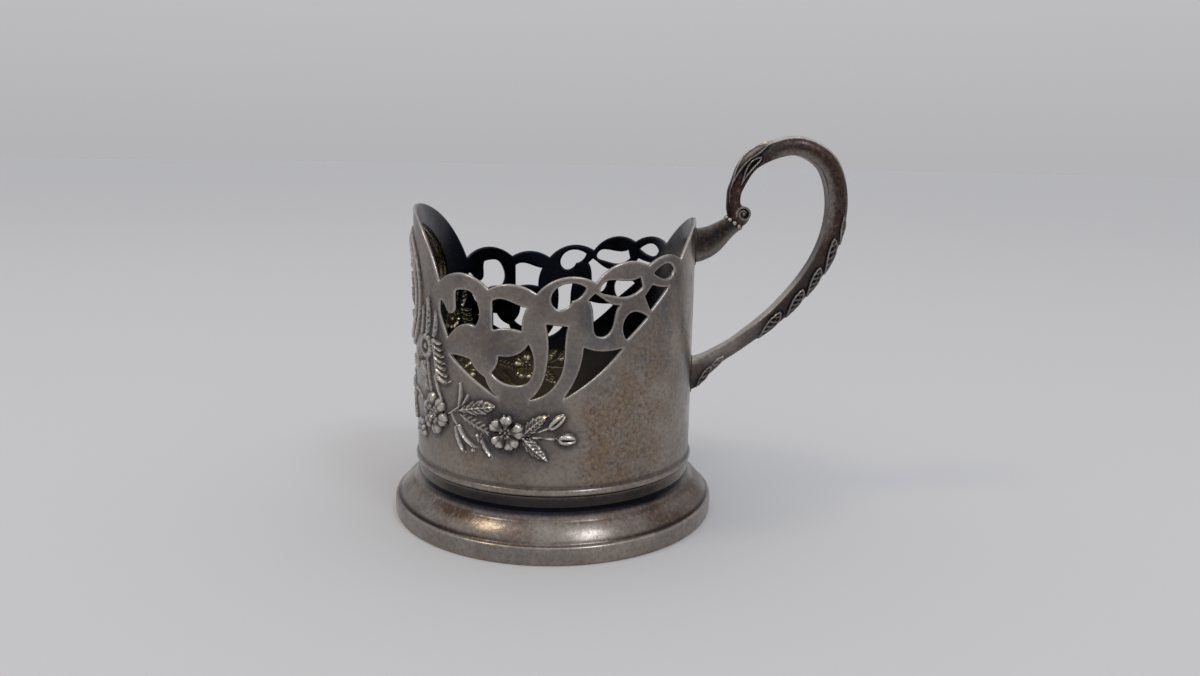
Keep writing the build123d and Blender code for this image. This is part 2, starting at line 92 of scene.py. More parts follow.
# The foot's outside, upwards, as (in from the band, height): each arc goes by one point to the next
FOOT_LINE = [
    (0.9, 0.35), (0.5, 0.0), (0.12, 0.3), (0.0, 2.1), (0.1, 3.8), (0.28, 4.18), (0.62, 4.4),
    (0.95, 4.58), (1.2, 4.86), (2.64, 6.68), (4.7, 8.5), (5.35, 9.5),
]
FOOT_ARC_STEPS = (6, 8, 6, 6, 20, 12)
FOOT_HOLLOW = [(5.4, 7.5), (3.2, 5.6), (1.9, 3.8), (1.2, 1.2)]

# The collar, as (out, up) for its middle and its axis, and the curled scroll on it
COLLAR_MIDDLE = np.array([44.5, 73.7])
COLLAR_AXIS = np.array([math.sin(math.radians(35)), math.cos(math.radians(35))])
COLLAR_THICKNESS = 0.9
COLLAR_HALF_WIDTH = 2.2
COLLAR_HALF_DEPTH = 2.1
COLLAR_BEADS = 10
COLLAR_BEAD_RADIUS = 0.64
SCROLL_PLACE = (46.75, 75.95)
SCROLL_RADIUS = 1.7
SCROLL_DEPTH = 4.4
SCROLL_STEPS = 56
SCROLL_START = 205  # degrees, and it curls in from here
SCROLL_TURN = 535  # degrees that it curls through
EYE_RADIUS = 0.52
WEB_DEPTH = 3.0

# The bow as (out, up, width, depth): the upper stations from the collar, the lower ones from its lower end
CASTING_RADIUS = SLEEVE_RADIUS + 0.3  # the castings stop here, on the solder
TERMINAL_UP = 34.6
BOW_START = (4.5, 4.0)
UPPER_STATIONS = [
    (-0.3, 4.5, 3.4, 4.0),
    (0.1, 8.6, 3.5, 4.2),
    (4.4, 15.6, 4.3, 4.8),
    (14.8, 19.2, 4.8, 5.4),
    (23.0, 14.8, 5.2, 5.8),
    (25.9, 3.8, 5.2, 6.0),
    (22.9, -8.8, 5.0, 5.8),
]
LOWER_STATIONS = [
    (23.4, 17.8, 4.5, 5.4),
    (12.3, 8.4, 3.7, 5.0),
    (6.6, 4.6, 4.1, 5.2),
    (3.6, 2.5, 5.3, 5.6),
    (1.3, 1.0, 7.4, 6.0),
]
BOW_END = (9.2, 6.4)
ROOT_SUNK = 1.5  # the middle line of each casting runs this far inside the sleeve's outside
BOW_ROWS = 620
BACK_COLUMNS = 14
CHEEK_COLUMNS = 32
FACE_COLUMNS = 6

# The arm, as (out, up) from the middle of its root, width, depth and lean
ARM_UP = 67.6
ARM_STATIONS = [(-ROOT_SUNK, 0.0, 8.8, 6.4, 90.0), (3.3, 1.4, 7.7, 6.0, 60.0), (6.2, 3.4, 6.0, 5.4, 48.0)]
ARM_TIP = (5.0, 4.8, 35.0)
ARM_ROWS = 60
ARM_COLUMNS = 64

# The photograph's camera
IMAGE_WIDTH = 1200
FOCAL_PIXELS = 904.4
CAMERA_PLACE = (7.65, -227.94, 90.7)
CAMERA_PITCH = 11.66  # degrees below level
CAMERA_HEADING = 0.98  # degrees from +Y towards +X
CAMERA_ROLL = 0.97


def hex_colour(code):
    """An sRGB hex colour as linear red, green, blue and alpha."""
    channels = [int(code[place:place + 2], 16) / 255 for place in (1, 3, 5)]
    linear = [c / 12.92 if c <= 0.04045 else ((c + 0.055) / 1.055) ** 2.4 for c in channels]
    return (*linear, 1.0)


def add_node(tree, kind, inputs, output=0, **settings):
    """Adds a node and returns one of its outputs; an input is an output, a hex colour or a plain value."""
    node = tree.nodes.new("ShaderNode" + kind)
    for name, value in settings.items():
        setattr(node, name, value)
    for socket, value in inputs.items():
        if isinstance(value, bpy.types.NodeSocket):
            tree.links.new(value, node.inputs[socket])
        else:
            node.inputs[socket].default_value = hex_colour(value) if isinstance(value, str) else value
    return node.outputs[output]


def new_material(name):
    """A material with its node tree and its shader."""
    material = bpy.data.materials.new(name)
    material.use_nodes = True
    return material, material.node_tree, material.node_tree.nodes["Principled BSDF"]


def placed(name, data):
    """A new object in the scene."""
    thing = bpy.data.objects.new(name, data)
    bpy.context.scene.collection.objects.link(thing)
    return thing


def ramp(value, start, end):
    """0 before start, 1 past end and even between them; start may be the higher one."""
    return np.clip((value - start) / (end - start), 0, 1)


def hump(value, middle, width):
    """1 at the middle, falling softly on both sides to about a third at a width away."""
    return np.exp(-(((value - middle) / width) ** 2))


def marked(bm, **amounts):
    """Writes wear and tarnish on a bmesh's vertices: for each name one amount for all, or an array."""
    for name, values in amounts.items():
        layer = bm.verts.layers.float.new(name)
        for vert, value in zip(bm.verts, np.broadcast_to(values, len(bm.verts))):
            vert[layer] = min(max(float(value), 0.0), 1.0)


def thickened(bm, faces, way):
    """Gives faces a thickness along a vector."""
    made = bmesh.ops.extrude_face_region(bm, geom=faces)["geom"]
    moved = [item for item in made if isinstance(item, bmesh.types.BMVert)]
    bmesh.ops.translate(bm, verts=moved, vec=way)


def finished_piece(name, bm, material, node=None, sharp_angle=40):
    """A closed bmesh in mm becomes a smooth piece that rides on the body and stands for its CAD node."""
    bmesh.ops.recalc_face_normals(bm, faces=bm.faces)
    bmesh.ops.scale(bm, vec=(MM, MM, MM), verts=bm.verts)
    mesh = bpy.data.meshes.new(name)
    bm.to_mesh(mesh)
    bm.free()
    mesh.shade_smooth()
    mesh.set_sharp_from_angle(angle=math.radians(sharp_angle))
    mesh.materials.append(material)
    piece = placed(name, mesh)
    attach(piece, "root")
    if node:
        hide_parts(node)


# Materials. A Mix node's colours are its inputs 6 and 7, and a Map Range goes from 1 and 2 to 3 and 4.


def aged_plate(name, tones, gloss, grain=1.0, lined=False, spun=False):
    """Old silver plate: satin, clouded brown and blue, black in hollows, rubbed pale where it stands out,
    with painted shade and painted highlights laid on through its marks.
    """
    bare, blued, browned, speck, pale = tones
    material, tree, shader = new_material(name)
    place = add_node(tree, "TexCoord", {}, "Object")
    height = add_node(tree, "SeparateXYZ", {0: place}, 2)
    worn, hollow, inside, brown, blue, stain, bared = (
        add_node(tree, "Attribute", {}, "Fac", attribute_name=mark)
        for mark in ("worn", "hollow", "inside", "brown", "blue", "stain", "bared")
    )

    # Clouds of blue-grey, about a finger's breadth across, and smaller smudges of brown
    clouds = add_node(tree, "TexNoise", {"Vector": place, "Scale": 1 / (16 * MM), "Detail": 4.0})
    clouds = add_node(tree, "MapRange", {0: clouds, 1: 0.36, 2: 0.58, 3: 0.6, 4: 0.0})
    blue = add_node(tree, "Math", {0: blue, 1: clouds}, operation="ADD", use_clamp=True)
    breadth = 9 * MM if spun else 5 * MM
    smudge = add_node(tree, "TexNoise", {"Vector": place, "Scale": 1 / breadth, "Detail": 6.0})
    smudge = add_node(tree, "MapRange", {0: smudge, 1: 0.38, 2: 0.62, 3: 0.2, 4: 1.0})
    toned = add_node(tree, "Math", {0: brown, 1: smudge, 2: stain}, operation="MULTIPLY_ADD", use_clamp=True)

    # Fine specks of tarnish and of bare plate, half a millimetre across, strongest where it is brown
    grit = {"Scale": 1 / (0.9 * MM), "Detail": 5.0, "Roughness": 0.7}
    specks = add_node(tree, "TexNoise", {"Vector": place, **grit})
    amount = add_node(tree, "MapRange", {0: brown, 1: 0.2, 2: 0.9, 3: 0.35 * grain, 4: grain})
    dark = add_node(tree, "MapRange", {0: specks, 1: 0.48, 2: 0.66, 3: 0.0, 4: 0.85})
    dark = add_node(tree, "Math", {0: dark, 1: amount}, operation="MULTIPLY")
    light = add_node(tree, "MapRange", {0: specks, 1: 0.44, 2: 0.30, 3: 0.0, 4: 0.9})
    light = add_node(tree, "Math", {0: light, 1: amount}, operation="MULTIPLY")

    # The inside is blue-black above, a painted shade, and brown below, and its stamped hollows have a yellow
    # cast
    shade = add_node(tree, "Mix", {0: brown, 6: "#22252e", 7: "#74634f"}, 2, data_type="RGBA")
    rubbed = add_node(tree, "Mix", {0: inside, 6: "#d3ccc3", 7: "#cdbc9b"}, 2, data_type="RGBA")
    patchy = add_node(tree, "MapRange", {0: specks, 1: 0.34, 2: 0.62, 3: 1.0, 4: 0.6})
    patchy = add_node(tree, "Math", {0: worn, 1: patchy}, operation="MULTIPLY")
    thin = add_node(tree, "Math", {0: bared, 1: smudge}, operation="MULTIPLY")

    # Each tone lies over those before it, up to the brass that shows where the plate has gone
    colour = bare
    for share, tone in (
        (blue, blued),
        (toned, browned),
        (dark, speck),
        (light, pale),
        (inside, shade),
        # black in hollows, and painted shade where the marks lay it
        (hollow, "#13151c"),
        # pale where rubbed, and painted highlights where the marks lay them
        (patchy, rubbed),
        (thin, "#9c7e5e"),
    ):
        colour = add_node(tree, "Mix", {0: share, 6: colour, 7: tone}, 2, data_type="RGBA")
    tree.links.new(colour, shader.inputs["Base Color"])

    # Smudges and specks are duller, and rubbed metal is smoother
    rough = add_node(tree, "MapRange", {0: smudge, 1: 0.2, 2: 1.0, 3: gloss - 0.04, 4: gloss + 0.08})
    rough = add_node(tree, "Math", {0: specks, 1: 0.12, 2: rough}, operation="MULTIPLY_ADD")
    rough = add_node(tree, "Math", {0: worn, 1: -0.06, 2: rough}, operation="MULTIPLY_ADD")
    if lined:
        # Low down inside, a dull film of tea covers the metal
        film = add_node(tree, "MapRange", {0: height, 1: 41 * MM, 2: 31 * MM, 3: 0.0, 4: 1.0})
        film = add_node(tree, "Math", {0: film, 1: inside}, operation="MULTIPLY")
        clean = add_node(tree, "Math", {0: worn, 1: -0.8, 2: 1.0}, operation="MULTIPLY_ADD")
        film = add_node(tree, "Math", {0: film, 1: clean}, operation="MULTIPLY")
        metal = add_node(tree, "Math", {0: film, 1: -0.7, 2: 1.0}, operation="MULTIPLY_ADD")
        tree.links.new(metal, shader.inputs["Metallic"])
        rough = add_node(tree, "Math", {0: film, 1: 0.2, 2: rough}, operation="MULTIPLY_ADD")
    else:
        shader.inputs["Metallic"].default_value = 1.0
    tree.links.new(rough, shader.inputs["Roughness"])

    # A satin grain, drawn coarser than the real one so that it shows
    pitch = 0.5 * MM if spun else 0.4 * MM
    fine = add_node(tree, "TexNoise", {"Vector": place, "Scale": 1 / pitch, "Detail": 4.0})
    if spun:
        # Lines left by the spinning tool: they change quickly with radius and height, not round the axis
        axes = add_node(tree, "VectorMath", {0: place, 1: (1.0, 1.0, 0.0)}, operation="MULTIPLY")
        radius = add_node(tree, "VectorMath", {0: axes}, "Value", operation="LENGTH")
        ring = add_node(tree, "CombineXYZ", {0: radius, 1: height})
        lines = add_node(tree, "TexNoise", {"Vector": ring, "Scale": 1 / (0.45 * MM), "Detail": 3.0})
        fine = add_node(tree, "Math", {0: fine, 1: 0.6, 2: lines}, operation="MULTIPLY_ADD")
    bump = add_node(tree, "Bump", {"Height": fine, "Strength": 0.18, "Distance": 0.06 * MM})
    tree.links.new(bump, shader.inputs["Normal"])
    return material


def grey_solder():
    """Soft solder, dull and dark with age, mottled as it froze."""
    material, tree, shader = new_material("grey_solder")
    place = add_node(tree, "TexCoord", {}, "Object")
    mottle = add_node(tree, "TexNoise", {"Vector": place, "Scale": 1 / (1.5 * MM), "Detail": 4.0})
    colour = add_node(tree, "Mix", {0: mottle, 6: "#29272a", 7: "#57534f"}, 2, data_type="RGBA")
    tree.links.new(colour, shader.inputs["Base Color"])
    shader.inputs["Metallic"].default_value = 1.0
    shader.inputs["Roughness"].default_value = 0.5
    return material


# The stamped relief


class Stamping:
    """Stamped relief over places on a strip, given as two arrays in mm: round the strip and up it."""

    def __init__(self, around, up):
        self.around, self.up = around, up
        self.height = np.zeros(around.shape)

    def lay(self, shape, height, inside=True):
        """Lays a shape of 0 to 1 over what is there, wherever it stands higher."""
        self.height = np.maximum(self.height, np.where(inside, height * np.clip(shape, 0, None), 0))

    def along(self, start, end, bow=0.0):
        """Share of the way from start to end, offset to the left of it in mm, and whether it is abreast."""
        run, rise = end[0] - start[0], end[1] - start[1]
        length = math.hypot(run, rise)
        share = ((self.around - start[0]) * run + (self.up - start[1]) * rise) / length**2
        offset = ((self.up - start[1]) * run - (self.around - start[0]) * rise) / length
        return np.clip(share, 0, 1), offset - bow * 4 * share * (1 - share), (share > 0) & (share < 1)

    def distance(self, centre, squash=1.0):
        """Distance from a centre, with the way round counted squash times."""
        return np.hypot((self.around - centre[0]) * squash, self.up - centre[1])

    def leaf(self, base, tip, width, height, bow=0.0, teeth=0, pitch=0.0, belly=0.4):
        """A pointed leaf with a midrib, widest at its belly; teeth, or veins and a raised edge, if asked."""
        t, offset, abreast = self.along(base, tip, bow)
        lead = 0.8 * belly / (1 - belly)
        half = width / 2 * (t / belly) ** lead * ((1 - t) / (1 - belly)) ** 0.8 + 0.02
        if teeth:
            half = half * (0.74 + 0.26 * ((t * teeth) % 1))
        across = np.abs(offset) / half
        wall = np.clip(1 - across**4, 0, 1) ** 0.5
        lines = 0.62 * hump(offset, 0, 0.2)
        if pitch:
            vein = np.cos(2 * np.pi * (t * math.dist(base, tip) - 1.2 * np.abs(offset)) / pitch)
            edge = hump((1 - across) * half, 0.2, 0.16)
            lines = np.maximum(lines, np.maximum(0.42 * np.clip(vein, 0, 1), 0.36 * edge))
        self.lay(wall * (0.34 + lines), height, abreast & (across < 1))

    def scale_leaf(self, base, tip, width, height, veins=0, belly=0.5, point=0.9):
        """A leaf as a thin raised outline round a sunk middle with looped veins; a low point is blunt."""
        t, offset, abreast = self.along(base, tip)
        half = width / 2 * np.sin(np.pi * t ** (math.log(0.5) / math.log(belly))) ** point + 0.02
        across = np.abs(offset) / half
        lines = hump((1 - across) * half, 0.2, 0.14)
        if veins:
            loop = np.clip(np.cos(2 * np.pi * (t * veins - 0.4 * offset / half)), 0, 1) * (across < 0.7)
            lines = np.maximum(lines, np.maximum(0.35 * hump(offset, 0, 0.15), 0.5 * loop))
        self.lay(0.2 + 0.8 * lines, height, abreast & (across < 1))

    def petal(self, base, tip, width, height):
        """A plump petal, highest towards its end, with a crease that parts its tip."""
        t, offset, abreast = self.along(base, tip)
        across = np.abs(offset) / (width / 2 * np.sin(np.pi * t**1.5) ** 0.6 + 0.02)
        notch = 1 - 0.10 * hump(offset, 0, 0.14 * width)
        wall = np.clip(1 - across**2, 0, 1) ** 0.45
        crease = hump(offset, 0, 0.26) * ramp(t, 0.3, 0.6)
        shape = wall * (0.34 + 0.66 * hump(t, 0.66, 0.28) - 0.24 * crease)
        self.lay(shape, height, abreast & (t < notch) & (across < 1))

    def bud(self, base, tip, width, height):
        """A plump bud, pointed at its tip and split down the middle."""
        t, offset, abreast = self.along(base, tip)
        across = np.abs(offset) / (width / 2 * (t / 0.42) ** 0.36 * ((1 - t) / 0.58) ** 0.5 + 0.02)
        body = np.sqrt(np.clip(1 - across**2, 0, 1)) * (4 * t * (1 - t)) ** 0.3
        split = hump(offset, 0, 0.23) * ramp(t, 0, 0.25)
        self.lay(body * (1 - 0.62 * split), height, abreast & (across < 1))

    def stem(self, start, end, width, height, bow=0.0):
        """A round stem."""
        _, offset, abreast = self.along(start, end, bow)
        self.lay(np.sqrt(np.clip(1 - (2 * offset / width) ** 2, 0, 1)), height, abreast)

    def berry(self, centre, radius, height):
        """A round berry."""
        self.lay(np.sqrt(np.clip(1 - (self.distance(centre) / radius) ** 2, 0, 1)), height)

    def ring(self, centre, radius, width, height, squash=1.0):
        """A round or oval ridge; squash is its height over its width."""
        off = (self.distance(centre, squash) - radius) / (width / 2)
        self.lay(np.clip(1 - off**2, 0, 1) ** 0.8, height)

    def flower(self, centre, petals, height, eye=0.0, stamens=9):
        """Petals, given by turn, reach and width, round a hollow eye with a ring of stamens in it."""

        def away(turn, reach):
            return (centre[0] + reach * math.cos(turn), centre[1] + reach * math.sin(turn))

        for turn, reach, width in petals:
            turn = math.radians(turn)
            self.petal(away(turn, 0.5 * eye), away(turn, reach), width, height)
        if eye:
            for stamen in range(stamens):
                self.berry(away(math.tau * stamen / stamens, eye), 0.32, 0.5 * height)
            self.berry(centre, 0.36 * eye, 0.36 * height)


def petals_round(count, reach, width, first=90.0):
    """Even petals for a flower."""
    return [(first + 360 * number / count, reach, width) for number in range(count)]


def flowers_and_leaves(around, up):
    """The relief on one side of the sleeve: the front's oval and flowers, and the spray by the handle."""
    relief = Stamping(around, up)
    front = HALF_ROUND
    leaf, stem, bud, flower = relief.leaf, relief.stem, relief.bud, relief.flower
    berry, ring = relief.berry, relief.ring

    # The oval frame at the front: a moulding of three ridges
    ring((front, OVAL_UP), 14.7, 1.1, 0.7, squash=14.7 / 16.7)
    ring((front, OVAL_UP), 13.2, 1.6, 1.1, squash=13.2 / 15.1)
    ring((front, OVAL_UP), 11.7, 1.0, 0.7, squash=11.7 / 13.5)

    # A spray in the oval
    stem((front, 47.0), (front, 58.6), 0.7, 0.6)
    leaf((109.8, 47.8), (103.6, 51.8), 2.9, 0.85, bow=0.5, teeth=5, pitch=1.3)
    leaf((109.8, 51.6), (102.6, 57.4), 3.1, 0.85, bow=0.5, teeth=5, pitch=1.3)
    leaf((109.8, 54.8), (103.6, 61.2), 2.6, 0.85, bow=0.4, teeth=5, pitch=1.3)
    flower((front, 62.0), petals_round(5, 4.3, 3.8), 1.15, eye=1.3)

    # Long leaves beside the oval
    leaf((89.4, 48.2), (88.4, 56.6), 2.2, 0.8, bow=0.3, pitch=1.4)
    leaf((86.2, 47.9), (85.0, 54.2), 1.8, 0.75, bow=0.3, pitch=1.4)
    leaf((92.6, 47.6), (91.2, 54.6), 1.6, 0.7, bow=0.3)

    # Daisy and its feathered leaf
    daisy = (90.1, 45.2)
    flower(daisy, petals_round(11, 3.2, 1.5), 0.95, eye=1.2, stamens=7)
    berry(daisy, 0.9, 0.8)
    for barb in range(7):
        share = barb / 6
        root = (86.4 - 1.5 * share, 47.4 - 8.0 * share)
        tip = (root[0] - 3.5 - 0.8 * share, root[1] - 0.7 - 0.8 * share)
        leaf(root, tip, 1.35, 0.85, bow=0.35)
    leaf((84.9, 38.9), (79.8, 38.5), 1.6, 0.9, bow=0.8)
    stem((86.6, 47.6), (84.6, 38.6), 0.7, 0.7)
    leaf((95.8, 40.6), (91.8, 44.4), 2.4, 0.8, pitch=1.2)
    bud((93.4, 40.9), (89.9, 37.7), 2.7, 1.05)
    ring((96.6, 40.6), 1.5, 0.8, 0.9)
    berry((96.6, 40.6), 0.9, 1.0)

    # Stems down to the rose
    stem((89.5, 42.5), (87.6, 34.5), 0.6, 0.55, bow=0.3)
    stem((91.0, 41.5), (89.4, 34.5), 0.6, 0.55, bow=0.3)
    stem((86.0, 39.0), (83.2, 33.5), 0.6, 0.55, bow=0.3)
    bud((91.0, 34.2), (90.5, 37.4), 1.9, 0.9)

    # Rose, one ring of petals inside the other
    rose = (86.3, 29.6)
    flower(rose, petals_round(6, 5.3, 3.6, first=75.0), 1.3)
    flower(rose, petals_round(4, 3.0, 2.6, first=45.0), 1.35)
    ring(rose, 1.0, 0.7, 1.2)
    berry(rose, 0.5, 1.1)

    # Berries low at the front, and a flower between leaves in the middle of it
    for row in range(3):
        for column in range(4 - row):
            berry((91.9 + 1.5 * column + 0.75 * row, 23.2 + 1.25 * row), 0.8, 0.95)
    flower((front, 31.5), petals_round(5, 4.7, 4.3), 1.2, eye=1.4)
    leaf((105.0, 31.5), (97.8, 33.2), 3.5, 0.85, bow=0.6, teeth=6, pitch=1.3)
    leaf((105.5, 29.0), (99.3, 25.0), 3.1, 0.85, bow=-0.5, teeth=6, pitch=1.3)
    stem((98.5, 33.0), (93.0, 31.5), 0.55, 0.5, bow=-0.4)

    # The spray towards the handle: its stems, a great leaf, small blades and a low fern
    stem((80.6, 30.8), (77.2, 33.0), 0.6, 0.55)
    stem((77.2, 33.0), (76.9, 35.0), 0.5, 0.5)
    leaf((77.2, 33.4), (76.7, 39.0), 1.3, 0.75, bow=0.2)
    leaf((76.2, 33.4), (74.3, 36.5), 1.1, 0.7)
    leaf((77.8, 32.0), (67.4, 34.4), 3.7, 0.95, bow=-0.2, teeth=4, pitch=1.5, belly=0.62)
    stem((77.0, 31.2), (69.0, 28.1), 0.4, 0.3, bow=0.2)
    for frond in range(6):
        root = (76.2 - 1.2 * frond, 31.0 - 0.45 * frond)
        leaf(root, (root[0] - 1.5, root[1] + 0.75), 0.6, 0.3)
        leaf(root, (root[0] - 1.1, root[1] - 1.35), 0.6, 0.3)
    stem((79.8, 31.2), (77.9, 28.6), 0.4, 0.4, bow=0.2)
    leaf((78.2, 28.4), (75.6, 22.5), 1.1, 0.9, bow=0.7, belly=0.35)
    leaf((77.3, 28.8), (72.2, 24.1), 1.3, 0.9, bow=0.9, belly=0.35)
    leaf((71.1, 27.6), (68.3, 22.6), 1.2, 0.9, bow=0.6, belly=0.65)
    leaf((72.2, 27.4), (71.4, 25.6), 0.8, 0.7)
    berry((73.3, 23.3), 0.55, 0.605)

    # Wild rose with its two leaves and two buds
    rose_petals = [(95, 4.3, 3.1), (33, 4.3, 3.3), (308, 4.3, 3.6), (238, 4.4, 4.2), (169, 4.6, 3.9)]
    flower((65.0, 28.5), rose_petals, 1.3, eye=1.1, stamens=8)
    leaf((60.9, 28.2), (55.2, 33.2), 3.1, 0.95, bow=-0.3, teeth=5, pitch=1.05)
    leaf((60.9, 27.9), (55.2, 22.6), 3.2, 0.95, bow=0.3, teeth=5, pitch=1.05)
    stem((57.5, 29.2), (54.8, 30.3), 0.4, 0.45)
    bud((55.0, 30.0), (51.5, 33.2), 2.4, 1.15)
    stem((58.8, 27.9), (52.8, 27.6), 0.4, 0.45)
    bud((53.0, 27.5), (48.9, 27.4), 2.9, 1.2)
    return relief.height


def blurred(raster, radius):
    """A raster softened over a radius in raster steps."""
    rows, columns = np.fft.fftfreq(raster.shape[0])[:, None], np.fft.rfftfreq(raster.shape[1])[None, :]
    soft = np.exp(-2 * (math.pi * radius) ** 2 * (rows**2 + columns**2))
    return np.fft.irfft2(np.fft.rfft2(raster) * soft, raster.shape)


def sampled(raster, around, up):
    """The raster's values at places on the strip, blended between its four nearest steps."""
    x = np.clip(around / RASTER_STEP, 0, raster.shape[1] - 1.001)
    y = np.clip((up - SLEEVE_BOTTOM) / RASTER_STEP, 0, raster.shape[0] - 1.001)
    column, row = x.astype(int), y.astype(int)
    right, above = x - column, y - row
    low = raster[row, column] * (1 - right) + raster[row, column + 1] * right
    high = raster[row + 1, column] * (1 - right) + raster[row + 1, column + 1] * right
    return low * (1 - above) + high * above


def folded(around):
    """Distance from the handle by the shorter way round: both sides of the sleeve are alike."""
    return np.minimum(around, 2 * HALF_ROUND - around)


# The sleeve


def sleeve_outlines():
    """The edges of the CAD sleeve and its piercings, as loops of (way round from the seam, height)."""
    bm = bmesh.new()
    bm.from_mesh(frame["nodes"]["sleeve"].data)
    bmesh.ops.remove_doubles(bm, verts=bm.verts, dist=0.001 * MM)
    low, high = (SLEEVE_RADIUS - SLEEVE_WALL / 4) * MM, (SLEEVE_RADIUS + SLEEVE_WALL / 4) * MM
    nearest = {face: min(vert.co.xy.length for vert in face.verts) for face in bm.faces}
    farthest = {face: max(vert.co.xy.length for vert in face.verts) for face in bm.faces}
    waiting = {}
    for edge in bm.edges:
        inward = sum(nearest[face] < low for face in edge.link_faces)
        raised = sum(farthest[face] > high for face in edge.link_faces)
        if inward == 1 and not raised and min(vert.co.xy.length for vert in edge.verts) > low:
            waiting[edge] = True
    loops = []
    while waiting:
        edge, _ = waiting.popitem()
        loop = list(edge.verts)
        while loop[-1] != loop[0]:
            edge = next(other for other in loop[-1].link_edges if other in waiting)
            del waiting[edge]
            loop.append(edge.other_vert(loop[-1]))
        angles = [math.atan2(vert.co.y, vert.co.x) % math.tau for vert in loop[:-1]]
        heights = [vert.co.z / MM for vert in loop[:-1]]
        loops.append(np.array([[SLEEVE_RADIUS * angle, height] for angle, height in zip(angles, heights)]))
    bm.free()
    return loops


def divided(loop, step):
    """A loop with its long edges divided evenly."""
    points = []
    for start, end in zip(loop, np.roll(loop, -1, axis=0)):
        parts = max(1, math.ceil(np.linalg.norm(end - start) / step))
        points += [start + (end - start) * part / parts for part in range(parts)]
    return np.array(points)


def beside_loop(loop, inset):
    """Points moved off a loop to both sides."""
    ahead = np.roll(loop, -1, axis=0) - np.roll(loop, 1, axis=0)
    ahead /= np.linalg.norm(ahead, axis=1)[:, None]
    normal = np.stack([-ahead[:, 1], ahead[:, 0]], axis=1)
    return np.concatenate([loop + inset * normal, loop - inset * normal])


def in_metal(points, loops):
    """Whether places on the strip lie in the metal: inside its outline and in none of its piercings."""
    inside = np.zeros(len(points), bool)
    for loop in loops:
        low, high = loop.min(axis=0), loop.max(axis=0)
        close = np.flatnonzero(((points >= low) & (points <= high)).all(axis=1))
        x, y = points[close, 0], points[close, 1]
        crossed = np.zeros(len(close), bool)
        for (x0, y0), (x1, y1) in zip(loop, np.roll(loop, -1, axis=0)):
            if y0 != y1:
                crossed ^= ((y0 > y) != (y1 > y)) & (x < (x1 - x0) * (y - y0) / (y1 - y0) + x0)
        inside[close] ^= crossed
    return inside


def lattice(step):
    """Staggered points over the whole strip."""
    upward = np.arange(SLEEVE_BOTTOM, SLEEVE_TOP, step * math.sqrt(3) / 2)
    around, up = np.meshgrid(np.arange(0, 2 * HALF_ROUND, step), upward)
    around[1::2] += step / 2
    return np.stack([around.ravel(), up.ravel()], axis=1)


def edge_finder(loops):
    """A function that gives the distances of places on the strip from its nearest edge."""
    samples = np.concatenate([divided(loop, EDGE_ROUNDING / 2) for loop in loops])
    edges = KDTree(len(samples))
    for number, (around, up) in enumerate(samples):
        edges.insert((around, up, 0), number)
    edges.balance()

    def edge_distance(places):
        return np.array([edges.find((around, up, 0))[2] for around, up in places])

    return edge_distance


def strip_points(loops, edge_distance, covered):
    """Groups of points for the strip: beside its edges, close together in the relief, wider apart off it."""
    near, beside = blurred(covered, 0.35 / RASTER_STEP), blurred(covered, 1.5 / RASTER_STEP)
    groups = []
    for inset in (EDGE_ROUNDING, EDGE_BAND):
        for loop in loops:
            group = beside_loop(loop, inset)
            group = group[in_metal(group, loops)]
            groups.append(group[edge_distance(group) > 0.8 * inset])
    for step in (SPRAY_STEP, RELIEF_STEP, MARGIN_STEP, PLAIN_STEP):
        group = lattice(step)
        around, up = folded(group[:, 0]), group[:, 1]
        in_relief = sampled(near, around, up) > 0.15
        in_margin = ~in_relief & ((sampled(beside, around, up) > 0.02) | (up < BEAD_HIGH + 3))
        in_spray = in_relief & (around < SPRAY_END)
        wanted = {
            SPRAY_STEP: in_spray,
            RELIEF_STEP: in_relief & ~in_spray,
            MARGIN_STEP: in_margin,
            PLAIN_STEP: ~in_relief & ~in_margin,
        }[step]
        group = group[wanted]
        group = group[in_metal(group, loops)]
        groups.append(group[edge_distance(group) > EDGE_BAND + 0.45 * step])
    return groups


def neck_shade(angle):
    """How dark the painted shade on the neck under the bead is: black on both sides, paler towards the
    handle and the front.
    """
    return np.clip(2.6 * np.abs(np.sin(angle)) - 0.9, 0.08, 1)


